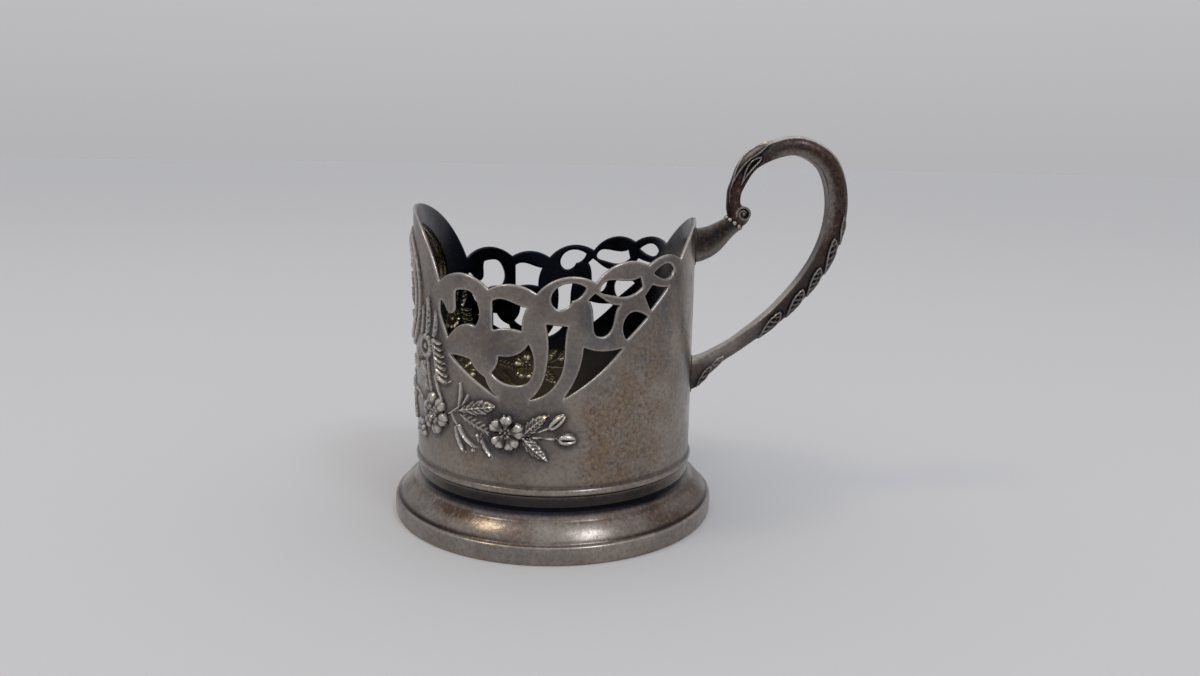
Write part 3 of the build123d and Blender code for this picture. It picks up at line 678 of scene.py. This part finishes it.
def strip_marks(raster, covered, relief, around, up, inner, from_edge):
    """Wear on what stands proud, black in hollows, blue round the flowers, brown on the plain metal, and
    painted shade below and above the bead and over the inside.
    """
    high = sampled(raster - blurred(raster, 0.65 / RASTER_STEP), around, up)
    deep = sampled(blurred(raster, 0.8 / RASTER_STEP) - raster, around, up)
    halo = sampled(blurred(covered, 2.8 / RASTER_STEP), around, up)
    edge = hump(from_edge, 0, 0.42) * ramp(around, 1, 3)
    outer_wear = ramp(high, 0.01, 0.2) + 0.65 * edge
    inner_wear = np.minimum(ramp(relief, 0.12, 0.57), 0.9)
    # Painted shade: black on the neck below the bead, by the way round, and a dark line in the corner above
    # the bead
    painted_shade_under_bead = ramp(up, BEAD_LOW + 0.4, BEAD_LOW - 0.4) * neck_shade(around / SLEEVE_RADIUS)
    painted_shade_over_bead = hump(up, BEAD_HIGH + 0.3, 0.45)
    ground = np.clip(1.5 * halo - 0.1, 0, 0.42) * (around < 82) * np.maximum(ramp(up, 29, 24), 0.3)
    dark = np.maximum(np.minimum(ramp(deep, 0, 0.22), 0.66), ground) + 0.88 * painted_shade_under_bead + 0.6 * painted_shade_over_bead
    low_brown = ramp(up, 34, 26) * (0.25 + 0.75 * ramp(around, 46, 54))
    plain = ramp(from_edge, 1, 4) * ramp(halo, 0.625, 0)
    tan_cloud = ramp(around, 50, 46) * ramp(around, 10, 44) + 0.35 * hump(around, 72, 12) * (up < 23)
    openwork = ramp(up, 38, 44) * (around > 22) * (around < 88)
    back_crest = ramp(around, 24, 18) * ramp(up, 48, 54)
    front_crest = ramp(around, 90, 100) * ramp(up, 60, 68)
    low_grey = ramp(up, 38, 32) * ramp(around, 51, 45)
    groove = hump(np.hypot((around - HALF_ROUND) * 0.88, up - OVAL_UP), 15.7, 0.5)
    return {
        "worn": np.where(inner, inner_wear, outer_wear),
        "hollow": 0.96 * np.clip(dark, 0, 1) * np.where(inner, 0.4, 1.0),
        # the inside mark lays painted shade over the inside, lifted on the crests' insides and low down
        # towards the handle
        "inside": inner * (1 - 0.9 * back_crest - 0.8 * front_crest - 0.55 * low_grey),
        "brown": np.where(inner, low_brown, 0.25 + 0.75 * plain * np.clip(tan_cloud, 0.2, 1)),
        "blue": np.where(inner, 0.5, 1.2 * halo + 0.4 * openwork + 0.15 * (around > 86)),
        "bared": np.where(inner, 0, 0.6 * groove),
    }


def stamped_sleeve(material):
    """The rolled strip: pierced as the CAD sleeve is, stamped with the relief, its back hollow behind it."""
    loops = [divided(loop, OUTLINE_STEP) for loop in sleeve_outlines()]
    edge_distance = edge_finder(loops)
    across = np.arange(0, HALF_ROUND + RASTER_STEP, RASTER_STEP)
    upward = np.arange(SLEEVE_BOTTOM, SLEEVE_TOP + RASTER_STEP, RASTER_STEP)
    raster = flowers_and_leaves(*np.meshgrid(across, upward))
    covered = (raster > COVERED).astype(float)
    rims = []
    for loop in loops:
        start, count = len(rims), len(loop)
        rims += [(start + number, start + (number + 1) % count) for number in range(count)]
    flat = np.concatenate([*loops, *strip_points(loops, edge_distance, covered)])
    made = delaunay_2d_cdt([Vector(place) for place in flat], rims, [], 1, 1e-5)
    places, triangles = np.array(made[0]), np.array(made[2])
    triangles = triangles[in_metal(places[triangles].mean(axis=1), loops)]

    # The flat strip gets its thickness, and is then rolled up
    sheet = bpy.data.meshes.new("strip")
    sheet.from_pydata([(*place, 0) for place in places], [], triangles.tolist())
    bm = bmesh.new()
    bm.from_mesh(sheet)
    bpy.data.meshes.remove(sheet)
    bmesh.ops.delete(bm, geom=[vert for vert in bm.verts if not vert.link_faces], context="VERTS")
    thickened(bm, bm.faces[:], (0, 0, -SLEEVE_WALL))
    flat = np.array([vert.co for vert in bm.verts])
    around, up, inner = folded(flat[:, 0]), flat[:, 1], flat[:, 2] < -SLEEVE_WALL / 2
    relief = flowers_and_leaves(around, up)
    from_edge = edge_distance(flat[:, :2])
    short = np.clip(EDGE_ROUNDING - from_edge, 0, 0.98 * EDGE_ROUNDING)
    rounding = EDGE_ROUNDING - np.sqrt(EDGE_ROUNDING**2 - short**2)
    radius = np.where(inner, BORE_RADIUS + 0.9 * relief + rounding, SLEEVE_RADIUS + relief - rounding)
    for vert, r, angle in zip(bm.verts, radius, flat[:, 0] / SLEEVE_RADIUS):
        vert.co = (r * math.cos(angle), r * math.sin(angle), vert.co.y)
    marked(bm, **strip_marks(raster, covered, relief, around, up, inner, from_edge))
    finished_piece("sleeve_strip", bm, material, "sleeve", sharp_angle=70)


# The spun pieces


def arc(start, via, end, count):
    """Points along the circle through three points, without the last one."""
    (ax, ay), (bx, by), (cx, cy) = start, via, end
    d = 2 * (ax * (by - cy) + bx * (cy - ay) + cx * (ay - by))
    a2, b2, c2 = ax * ax + ay * ay, bx * bx + by * by, cx * cx + cy * cy
    ox = (a2 * (by - cy) + b2 * (cy - ay) + c2 * (ay - by)) / d
    oy = (a2 * (cx - bx) + b2 * (ax - cx) + c2 * (bx - ax)) / d
    first = math.atan2(ay - oy, ax - ox)
    middle = (math.atan2(by - oy, bx - ox) - first) % math.tau
    last = (math.atan2(cy - oy, cx - ox) - first) % math.tau
    if middle > last:
        last -= math.tau
    radius = math.hypot(ax - ox, ay - oy)
    turns = [first + last * step / count for step in range(count)]
    return [(ox + radius * math.cos(turn), oy + radius * math.sin(turn)) for turn in turns]


def run_of_arcs(points, counts):
    """Arcs one after the other, each from an end by the next point to the one after, and the last end."""
    run = []
    for number, count in enumerate(counts):
        run += arc(*points[2 * number:2 * number + 3], count)
    return run + [points[-1]]


def spin(profile):
    """Spins a closed profile of (radius, height); gives each vertex's radius, height and turn in degrees."""
    bm = bmesh.new()
    verts = [bm.verts.new((radius, 0, height)) for radius, height in profile]
    edges = [bm.edges.new(pair) for pair in zip(verts, verts[1:] + verts[:1])]
    bmesh.ops.spin(
        bm, geom=verts + edges, axis=(0, 0, 1), cent=(0, 0, 0),
        angle=math.tau, steps=SPIN_STEPS, use_merge=True,
    )
    bmesh.ops.remove_doubles(bm, verts=bm.verts, dist=0.001)
    radius = np.array([vert.co.xy.length for vert in bm.verts])
    up = np.array([vert.co.z for vert in bm.verts])
    turn = np.array([math.degrees(math.atan2(vert.co.y, vert.co.x)) for vert in bm.verts])
    return bm, radius, up, turn


def spun_foot(material):
    """The foot: a band with a rolled edge, a shoulder, a cove up to the sleeve and a ledge under it."""
    band, neck = FOOT_RADIUS, SLEEVE_RADIUS + 0.6
    outside = [(band - inset, up) for inset, up in FOOT_LINE] + [(SLEEVE_RADIUS + 0.06, FOOT_TOP + 1.4)]
    profile = run_of_arcs(outside, FOOT_ARC_STEPS) + [(SLEEVE_RADIUS + 0.03, FOOT_TOP)]
    ledge = FOOT_TOP - LEDGE_SHEET
    profile += [(LEDGE_RADIUS, FOOT_TOP), (LEDGE_RADIUS, ledge), (neck - 1.0, ledge)]
    profile += [(band - inset, up) for inset, up in FOOT_HOLLOW]
    bm, radius, up, turn = spin(profile)
    edge = hump(up, 0.15, 0.2) * (radius > band - 0.7)
    aside = 1 - hump(np.abs(turn), 90, 26)
    groove = hump(up, 4.75, 0.45) * (radius > band - 2.0) * (up > 4.45) * (0.15 + 0.85 * aside)
    # painted shade, dark blue, in the cove up to the sleeve, set by the way round
    cove = ramp(up, 9.2, 10) * neck_shade(np.radians(turn))
    patch = (hump(turn, -127, 13) + hump(turn, 52, 20)) * hump(up, 7.9, 0.9) + 0.4 * hump(up, 8.6, 0.5)
    # painted shade on the foot's inside and underside
    under = (radius < neck - 0.3) | ((radius < band - 1.1) & (up < 4.4))
    bottom = hump(up, 0.25, 0.3) * (radius > band - 0.9)
    on_band = (up < 4.3) & (radius > band - 0.5)
    by_handle = ramp(np.abs(turn), 75, 45) * ramp(up, 4.9, 5.7)
    marked(
        bm,
        worn=0.2 * edge + 0.2 * on_band,
        hollow=0.8 * groove + 0.86 * cove + 0.5 * under + 0.2 * patch + 0.16 * by_handle,
        brown=0.5 - 0.1 * on_band + 0.4 * patch,
        stain=0.35 * patch + 0.9 * groove + 0.45 * by_handle,
        blue=0.6 * cove,
        bared=0.5 * bottom,
    )
    finished_piece("spun_foot", bm, material, "foot")


def bead_wire(material):
    """The half-round wire round the bottom of the sleeve, rubbed along its crown."""
    middle, seat = (BEAD_LOW + BEAD_HIGH) / 2, SLEEVE_RADIUS - 0.05
    bm, _, up, _ = spin(run_of_arcs([(seat, BEAD_LOW), (BEAD_RADIUS, middle), (seat, BEAD_HIGH)], [12]))
    crown = hump(up, middle + 0.1, 0.55)
    # painted shade darkens both edges, where the wire meets the sleeve
    marked(bm, worn=0.28 * crown, hollow=0.8 * (1 - crown) ** 3, brown=0.5, stain=0.15)
    finished_piece("bead_wire", bm, material, "bead_ring")


def floor_disc(material):
    """The pressed disc that the glass stands on."""
    low, high, brim = FLOOR_LOW, FLOOR_HIGH, FLOOR_LOW + FLOOR_SHEET
    step = [(PLATFORM_RADIUS, high), (30.3, high - 0.12), (30.75, high - 0.4)]
    step += [(31.15, high - 0.68), (31.7, brim)]
    profile = [(0, high), (PLATFORM_RADIUS, high)] + run_of_arcs(step, (4, 4))
    profile += [(FLOOR_EDGE, brim), (FLOOR_EDGE, low), (30.4, low)]
    profile += [(PLATFORM_RADIUS, high - FLOOR_SHEET), (0, high - FLOOR_SHEET)]
    bm, radius, _, _ = spin(profile)
    # painted shade over the disc, deepest at its brim under the sleeve
    marked(bm, inside=0.45 + 0.4 * (radius > 30.5), brown=0.4)
    finished_piece("floor_disc", bm, material, "floor_plate")


# The handle


def lofted_casting(name, node, material, places, **amounts):
    """A casting through rings of places: x, y and z by ring and place, and its marks alike."""
    rings, count = places[0].shape
    bm = bmesh.new()
    bmesh.ops.create_grid(bm, x_segments=rings - 1, y_segments=count, size=0.5)
    row = np.array([round((vert.co.x + 0.5) * (rings - 1)) for vert in bm.verts])
    column = np.array([round((vert.co.y + 0.5) * count) % count for vert in bm.verts])
    for vert, place in zip(bm.verts, np.stack(places, axis=2)[row, column]):
        vert.co = place
    for mark, values in amounts.items():
        marked(bm, **{mark: np.broadcast_to(values, (rings, count))[row, column]})
    bmesh.ops.remove_doubles(bm, verts=bm.verts, dist=0.0005)
    bmesh.ops.holes_fill(bm, edges=[edge for edge in bm.edges if edge.is_boundary])
    finished_piece(name, bm, material, node, sharp_angle=55)


def bow_line():
    """Places along the bow's middle line, their directions, and the section's width and depth there."""
    stations = [(*(COLLAR_MIDDLE + COLLAR_THICKNESS / 2 * COLLAR_AXIS), *BOW_START)]
    stations += [(COLLAR_MIDDLE[0] + out, COLLAR_MIDDLE[1] + up, w, d) for out, up, w, d in UPPER_STATIONS]
    stations += [(SLEEVE_RADIUS + out, TERMINAL_UP + up, w, d) for out, up, w, d in LOWER_STATIONS]
    stations = np.array(stations + [(SLEEVE_RADIUS - ROOT_SUNK, TERMINAL_UP, *BOW_END)])
    knots = np.concatenate([[0], np.cumsum(np.linalg.norm(np.diff(stations[:, :2], axis=0), axis=1))])
    slopes = np.zeros_like(stations)
    slopes[1:-1] = (stations[2:] - stations[:-2]) / (knots[2:] - knots[:-2])[:, None]
    slopes[0, :2] = COLLAR_AXIS
    slopes[-1, :2] = (-1, 0)

    def at(way):
        """Values on the smooth curve through the stations."""
        number = np.clip(np.searchsorted(knots, way, side="right") - 1, 0, len(knots) - 2)
        span = knots[number + 1] - knots[number]
        t = ((way - knots[number]) / span)[:, None]
        span = span[:, None]
        value = stations[number] * (1 + 2 * t) * (1 - t) ** 2 + slopes[number] * span * t * (1 - t) ** 2
        return value + stations[number + 1] * t**2 * (3 - 2 * t) + slopes[number + 1] * span * t**2 * (t - 1)

    dense = np.linspace(0, knots[-1], 3000)
    lengths = np.concatenate([[0], np.cumsum(np.linalg.norm(np.diff(at(dense)[:, :2], axis=0), axis=1))])
    along = np.linspace(0, lengths[-1], BOW_ROWS)
    way = np.interp(along, lengths, dense)
    values = at(way)
    ahead = at(np.minimum(way + 0.01, knots[-1])) - at(np.maximum(way - 0.01, 0))
    ahead = ahead[:, :2] / np.linalg.norm(ahead[:, :2], axis=1)[:, None]
    return along, values[:, :2], ahead, values[:, 2], values[:, 3]


def bow_section(width, depth):
    """The section from the middle of the back round one cheek to the middle of the inner face."""
    crown, corner, face = (width / 2, 0), (0.36 * width, 0.62 * depth / 2), 0.72 * depth / 2
    other_corner = (corner[0], -corner[1])
    back = arc(other_corner, crown, corner, 2 * BACK_COLUMNS)[BACK_COLUMNS:]
    cheek = arc(corner, (0.05 * width, depth / 2), (-width / 2, face), CHEEK_COLUMNS)
    flat = [(-width / 2, face * (1 - step / FACE_COLUMNS)) for step in range(FACE_COLUMNS + 1)]
    return np.array(back + cheek + flat)


def bow_leaves(along, off_back):
    """The leaves on the bow: two long ones at its start, and a row of veined scales on its outer edge."""
    relief = Stamping(along, off_back)
    relief.scale_leaf((4.6, 1.7), (22.0, 1.2), 3.2, 0.4, belly=0.76)
    relief.scale_leaf((9.4, 3.75), (18.4, 4.0), 1.7, 0.4, belly=0.7, point=0.55)
    relief.scale_leaf((57.4, 0.6), (50.4, 2.9), 2.6, 0.34, veins=6, belly=0.46)
    for base, tip in ((65.1, 56.2), (71.9, 64.2), (79.0, 71.0), (87.6, 79.0)):
        relief.scale_leaf((base, 0.9), (tip, 4.1), 3.0, 0.34, veins=6, belly=0.5, point=0.65)
    for base, tip in ((107.0, 101.4), (103.0, 97.2)):
        relief.scale_leaf((base, 1.3), (tip, 3.2), 2.6, 0.34, veins=4)
    return relief.height


def cast_bow(material):
    """The bow: its section carried along its line, with the leaves raised on its back and cheeks."""
    along, middle, ahead, widths, depths = bow_line()
    half = np.array([bow_section(width, depth) for width, depth in zip(widths, depths)])
    ring = np.concatenate([half, half[:, -2:0:-1] * (1, -1)], axis=1)
    rows, columns = ring.shape[:2]
    off_back = np.concatenate([np.zeros((rows, 1)), np.linalg.norm(np.diff(half, axis=1), axis=2)], axis=1)
    off_back = np.cumsum(off_back, axis=1)
    corner = off_back[:, BACK_COLUMNS + CHEEK_COLUMNS][:, None]
    off_back = np.concatenate([off_back, off_back[:, -2:0:-1]], axis=1)
    on_face = off_back > corner - 1e-6
    tangent = np.roll(ring, -1, axis=1) - np.roll(ring, 1, axis=1)
    normal = np.stack([tangent[:, :, 1], -tangent[:, :, 0]], axis=2)
    normal /= np.linalg.norm(normal, axis=2)[:, :, None]
    along = np.repeat(along[:, None], columns, axis=1)
    relief = np.where(on_face, 0, bow_leaves(along, off_back))
    ring = ring + normal * relief[:, :, None]
    outward = np.stack([-ahead[:, 1], ahead[:, 0]], axis=1)
    y = ring[:, :, 1]
    x = middle[:, None, 0] + ring[:, :, 0] * outward[:, None, 0]
    x = np.maximum(x, np.sqrt(CASTING_RADIUS**2 - y**2))
    z = middle[:, None, 1] + ring[:, :, 0] * outward[:, None, 1]

    # Wear on leaves and arrises, painted highlights along the upper arc's crown and on the lower limb, black
    # between the leaves, and cooler and in painted shade lower down
    soft = blurred(relief, 3.0)
    beside = blurred((relief > COVERED).astype(float), 5.0)
    arris = hump(off_back, corner, 0.25)
    upper = ramp(along, 20, 25) * ramp(along, 60, 52)
    lower = ramp(along, 66, 76)
    cool = ramp(along, 57, 67)
    late = ramp(along, 82, 94)
    ending = ramp(along, 99, 103)
    upward = ramp(off_back, 1.6, corner)
    strip = ramp(off_back - corner, -2.07, -0.27) * ~on_face * upper
    # a painted highlight along the top of the upper arc
    crown = ramp(off_back, 2, 1.6) * ramp(along, 20, 23) * ramp(along, 43, 34)
    spoon = hump(along, 17.5, 3) * hump(off_back, 1.1, 0.7)
    # along the lower limb, the arris and the inner face, which faces up, also get painted highlights
    worn = 0.6 * ramp(relief - soft, 0, 0.1) + (0.2 + 0.6 * lower) * arris + 0.42 * strip
    worn = worn + (0.1 + 0.55 * lower) * on_face + crown + 0.45 * spoon
    # a painted highlight on the lower limb's upper side towards its end
    worn = worn + late * (0.1 + 0.32 * upward) * (1 - 0.9 * ending * (1 - upward**3)) * ~on_face
    hollow = 0.85 * ramp(soft - relief, 0, 0.06) + 0.5 * beside * (1 - np.clip(worn, 0, 1))
    # painted shade over the lower limb's back and cheeks, short of its end
    hollow = np.where(on_face, 0, hollow + 0.25 * cool * (1 - late))
    marks = {"worn": worn, "hollow": hollow, "brown": 0.8 - 0.65 * cool, "blue": 0.5 * cool}
    lofted_casting("cast_bow", "handle_bow", material, (x, y, z), **marks)


def horn_arm(material):
    """The arm: a horn from the sleeve up to the collar, dark along its cheeks, rubbed below and with a
    painted highlight along its top.
    """
    stations = [(SLEEVE_RADIUS + out, ARM_UP + up, *rest) for out, up, *rest in ARM_STATIONS]
    stations += [(*(COLLAR_MIDDLE - COLLAR_THICKNESS / 2 * COLLAR_AXIS), *ARM_TIP)]
    knots = np.linspace(0, 1, len(stations))
    way = np.linspace(0, 1, ARM_ROWS)[:, None]
    curves = [np.polyfit(knots, values, 3) for values in zip(*stations)]
    out, up, width, depth, lean = (np.polyval(curve, way) for curve in curves)
    turn = np.linspace(0, math.tau, ARM_COLUMNS, endpoint=False)
    lean = np.radians(lean)
    back = width / 2 * np.cos(turn)
    y = depth / 2 * np.sin(turn)
    x = np.maximum(out - back * np.cos(lean), np.sqrt(CASTING_RADIUS**2 - y**2))
    z = up + back * np.sin(lean)
    angle = np.abs(np.degrees(turn) - 180)  # 180 along the top, 0 along the bottom
    cheek = hump(angle, 105, 30)
    marks = {
        # a painted highlight along the top, and wear along the bottom
        "worn": 0.3 * hump(angle, 172, 22) + 0.36 * hump(angle, 42, 20),
        "hollow": 0.45 * cheek + 0.5 * hump(way, 0, 0.06),
        "brown": 0.35 + 0.5 * cheek,
    }
    lofted_casting("horn_arm", "handle_arm", material, (x, y, z), **marks)


def curled_scroll(material):
    """The curl on the inside of the bow's foot: a strip rolled into a spiral round an eye."""
    bm = bmesh.new()
    pairs = []
    for share in np.linspace(0, 1, SCROLL_STEPS):
        turn = math.radians(SCROLL_START - SCROLL_TURN * share)
        ray = Vector((math.cos(turn), 0, math.sin(turn)))
        radius = SCROLL_RADIUS + 0.4 - (SCROLL_RADIUS - 0.4) * share**1.5
        thickness = 0.62 - 0.26 * share
        pairs.append([bm.verts.new(ray * radius), bm.verts.new(ray * (radius - thickness))])
    for (a, b), (c, d) in zip(pairs, pairs[1:]):
        bm.faces.new((a, b, d, c))
    thickened(bm, bm.faces[:], (0, SCROLL_DEPTH, 0))
    bmesh.ops.translate(bm, verts=bm.verts, vec=(0, -SCROLL_DEPTH / 2, 0))
    bmesh.ops.recalc_face_normals(bm, faces=bm.faces)
    rims = [edge for edge in bm.edges if edge.is_manifold and edge.calc_face_angle() > math.radians(60)]
    bmesh.ops.bevel(bm, geom=rims, offset=0.13, segments=2, profile=0.5, affect="EDGES", material=-1)
    core = {"radius1": SCROLL_RADIUS - 0.2, "radius2": SCROLL_RADIUS - 0.2, "depth": SCROLL_DEPTH - 1.0}
    across = Matrix.Rotation(math.radians(90), 4, "X")
    bmesh.ops.create_cone(bm, cap_ends=True, segments=40, matrix=across, **core)
    for side in (-1, 1):
        eye = Matrix.Translation((0, side * (SCROLL_DEPTH / 2 - 0.45), 0))
        bmesh.ops.create_uvsphere(bm, u_segments=24, v_segments=12, radius=EYE_RADIUS, matrix=eye)

    # The web that runs into it from the bow above and from the collar below
    curl = set(bm.verts)
    outline = arc((-0.95, 3.5), (-0.5, 2.15), (0.6, 1.4), 8)
    outline += arc((1.7, -0.5), (1.3, -1.75), (-0.2, -3.1), 8)
    outline += [(-0.2, -3.1), (-1.7, -2.2), (-1.7, 4.2)]
    web = bm.faces.new([bm.verts.new((out, -WEB_DEPTH / 2, up)) for out, up in outline])
    thickened(bm, [web], (0, WEB_DEPTH, 0))
    sides = [edge for edge in bm.edges if not curl & set(edge.verts)]
    sides = [edge for edge in sides if abs(edge.verts[0].co.y - edge.verts[1].co.y) < 0.01]
    bmesh.ops.bevel(bm, geom=sides, offset=0.4, segments=3, profile=0.5, affect="EDGES", material=-1)
    in_web = np.array([vert not in curl for vert in bm.verts])
    low = np.array([vert.co.z < -1.0 for vert in bm.verts])
    proud = np.array([abs(vert.co.y) > SCROLL_DEPTH / 2 - 0.25 for vert in bm.verts])
    bmesh.ops.translate(bm, verts=bm.verts, vec=(SCROLL_PLACE[0], 0, SCROLL_PLACE[1]))
    hollow = 0.2 + 0.7 * (~proud & ~in_web)
    # the low part of the web gets a painted highlight
    marked(bm, worn=0.4 * proud + 0.2 * (in_web & low), hollow=hollow, brown=0.7 * in_web)
    finished_piece("curled_scroll", bm, material)


def beaded_collar(material):
    """The collar between arm and bow: a thin washer with a row of beads round it, rubbed bright outside."""
    bm = bmesh.new()
    washer = {"radius1": 1.0, "radius2": 1.0, "depth": COLLAR_THICKNESS}
    oval = Matrix.Diagonal((COLLAR_HALF_WIDTH, COLLAR_HALF_DEPTH, 1, 1))
    bmesh.ops.create_cone(bm, cap_ends=True, segments=48, matrix=oval, **washer)
    for bead in range(COLLAR_BEADS):
        turn = math.tau * (bead + 0.5) / COLLAR_BEADS
        place = Matrix.Translation(oval @ Vector((math.cos(turn), math.sin(turn), 0)))
        bmesh.ops.create_uvsphere(bm, u_segments=20, v_segments=12, radius=COLLAR_BEAD_RADIUS, matrix=place)
    out = np.array([vert.co.xy.length for vert in bm.verts])
    proud = ramp(out, COLLAR_HALF_DEPTH + 0.25, COLLAR_HALF_DEPTH + 0.5)
    marked(bm, worn=0.8 * proud, hollow=0.8 * (1 - proud), brown=0.3)
    lean = Matrix.Rotation(math.atan2(COLLAR_AXIS[0], COLLAR_AXIS[1]), 4, "Y")
    bmesh.ops.transform(bm, matrix=lean, verts=bm.verts)
    bmesh.ops.translate(bm, verts=bm.verts, vec=(COLLAR_MIDDLE[0], 0, COLLAR_MIDDLE[1]))
    finished_piece("beaded_collar", bm, material, "bead_collar")


# The studio


def studio():
    """A pale floor, soft light from above and a camera where the photograph was taken."""
    scene = bpy.context.scene
    scene.view_settings.view_transform = "Standard"
    bm = bmesh.new()
    bmesh.ops.create_circle(bm, cap_ends=True, segments=96, radius=6.0)
    mesh = bpy.data.meshes.new("floor")
    bm.to_mesh(mesh)
    bm.free()
    floor = placed("floor", mesh)
    paint, _, shader = new_material("pale_floor")
    shader.inputs["Base Color"].default_value = hex_colour("#d0cfd0")
    shader.inputs["Roughness"].default_value = 0.8
    shader.inputs["Specular IOR Level"].default_value = 0.2
    floor.data.materials.append(paint)

    # A sky that is brightest overhead
    world = bpy.data.worlds.new("studio")
    scene.world = world
    world.use_nodes = True
    tree = world.node_tree
    way = add_node(tree, "TexCoord", {}, "Generated")
    overhead = add_node(tree, "SeparateXYZ", {0: way}, 2)
    overhead = add_node(tree, "MapRange", {0: overhead, 1: 0.0, 2: 1.0, 3: 0.0, 4: 1.0})
    sky = add_node(tree, "Mix", {0: overhead, 6: "#b4b3b5", 7: "#eceef2"}, 2, data_type="RGBA")
    tree.links.new(sky, tree.nodes["Background"].inputs["Color"])

    for name, place, tint, size, power in (
        ("lamp_left", (-0.60, -0.24, 0.95), "#ffecc4", 0.24, 1.25),
        ("lamp_right", (0.38, -0.52, 0.89), "#eaf2ff", 0.26, 1.6),
    ):
        light = bpy.data.lights.new(name, "AREA")
        light.color = hex_colour(tint)[:3]
        light.energy = power
        light.size = size
        lamp = placed(name, light)
        lamp.location = place
        lamp.rotation_euler = (Vector((0, 0, 0.04)) - Vector(place)).to_track_quat("-Z", "Y").to_euler()

    camera = placed("camera", bpy.data.cameras.new("camera"))
    camera.data.sensor_width = 36.0
    camera.data.lens = FOCAL_PIXELS / IMAGE_WIDTH * camera.data.sensor_width
    camera.data.clip_start = 0.01
    turn = Matrix.Rotation(-math.radians(CAMERA_HEADING), 4, "Z")
    tilt = Matrix.Rotation(math.radians(90 - CAMERA_PITCH), 4, "X")
    roll = Matrix.Rotation(math.radians(CAMERA_ROLL), 4, "Z")
    camera.matrix_world = Matrix.Translation(Vector(CAMERA_PLACE) * MM) @ turn @ tilt @ roll
    scene.camera = camera


# The tones of each plate: bare, blued, browned, its dark specks and its pale ones
sheet_tones = ("#989088", "#5a595d", "#8a7766", "#4f443d", "#b0a08d")
spun_tones = ("#9a928a", "#6c6b6e", "#5f4b40", "#463933", "#aca092")
cast_tones = ("#534842", "#464346", "#46312a", "#2a211e", "#77685e")
horn_tones = ("#4b423c", "#3e3a3b", "#382a24", "#221c19", "#6f6157")
sheet_plate = aged_plate("aged_plate_on_sheet", sheet_tones, 0.2, grain=0.8, lined=True)
spun_plate = aged_plate("aged_plate_on_spun_sheet", spun_tones, 0.18, grain=0.85, lined=True, spun=True)
cast_plate = aged_plate("aged_plate_on_casting", cast_tones, 0.3)
horn_plate = aged_plate("aged_plate_on_horn", horn_tones, 0.28)
finishes = {"plated_sheet": sheet_plate, "plated_casting": cast_plate, "solder": grey_solder()}
for part in frame["record"]["subparts"]:
    mesh = frame["nodes"][part["node"]].data
    mesh.materials.clear()
    mesh.materials.append(finishes[part["material_slot"]])
stamped_sleeve(sheet_plate)
spun_foot(spun_plate)
bead_wire(spun_plate)
floor_disc(spun_plate)
horn_arm(horn_plate)
cast_bow(cast_plate)
curled_scroll(cast_plate)
beaded_collar(cast_plate)
studio()
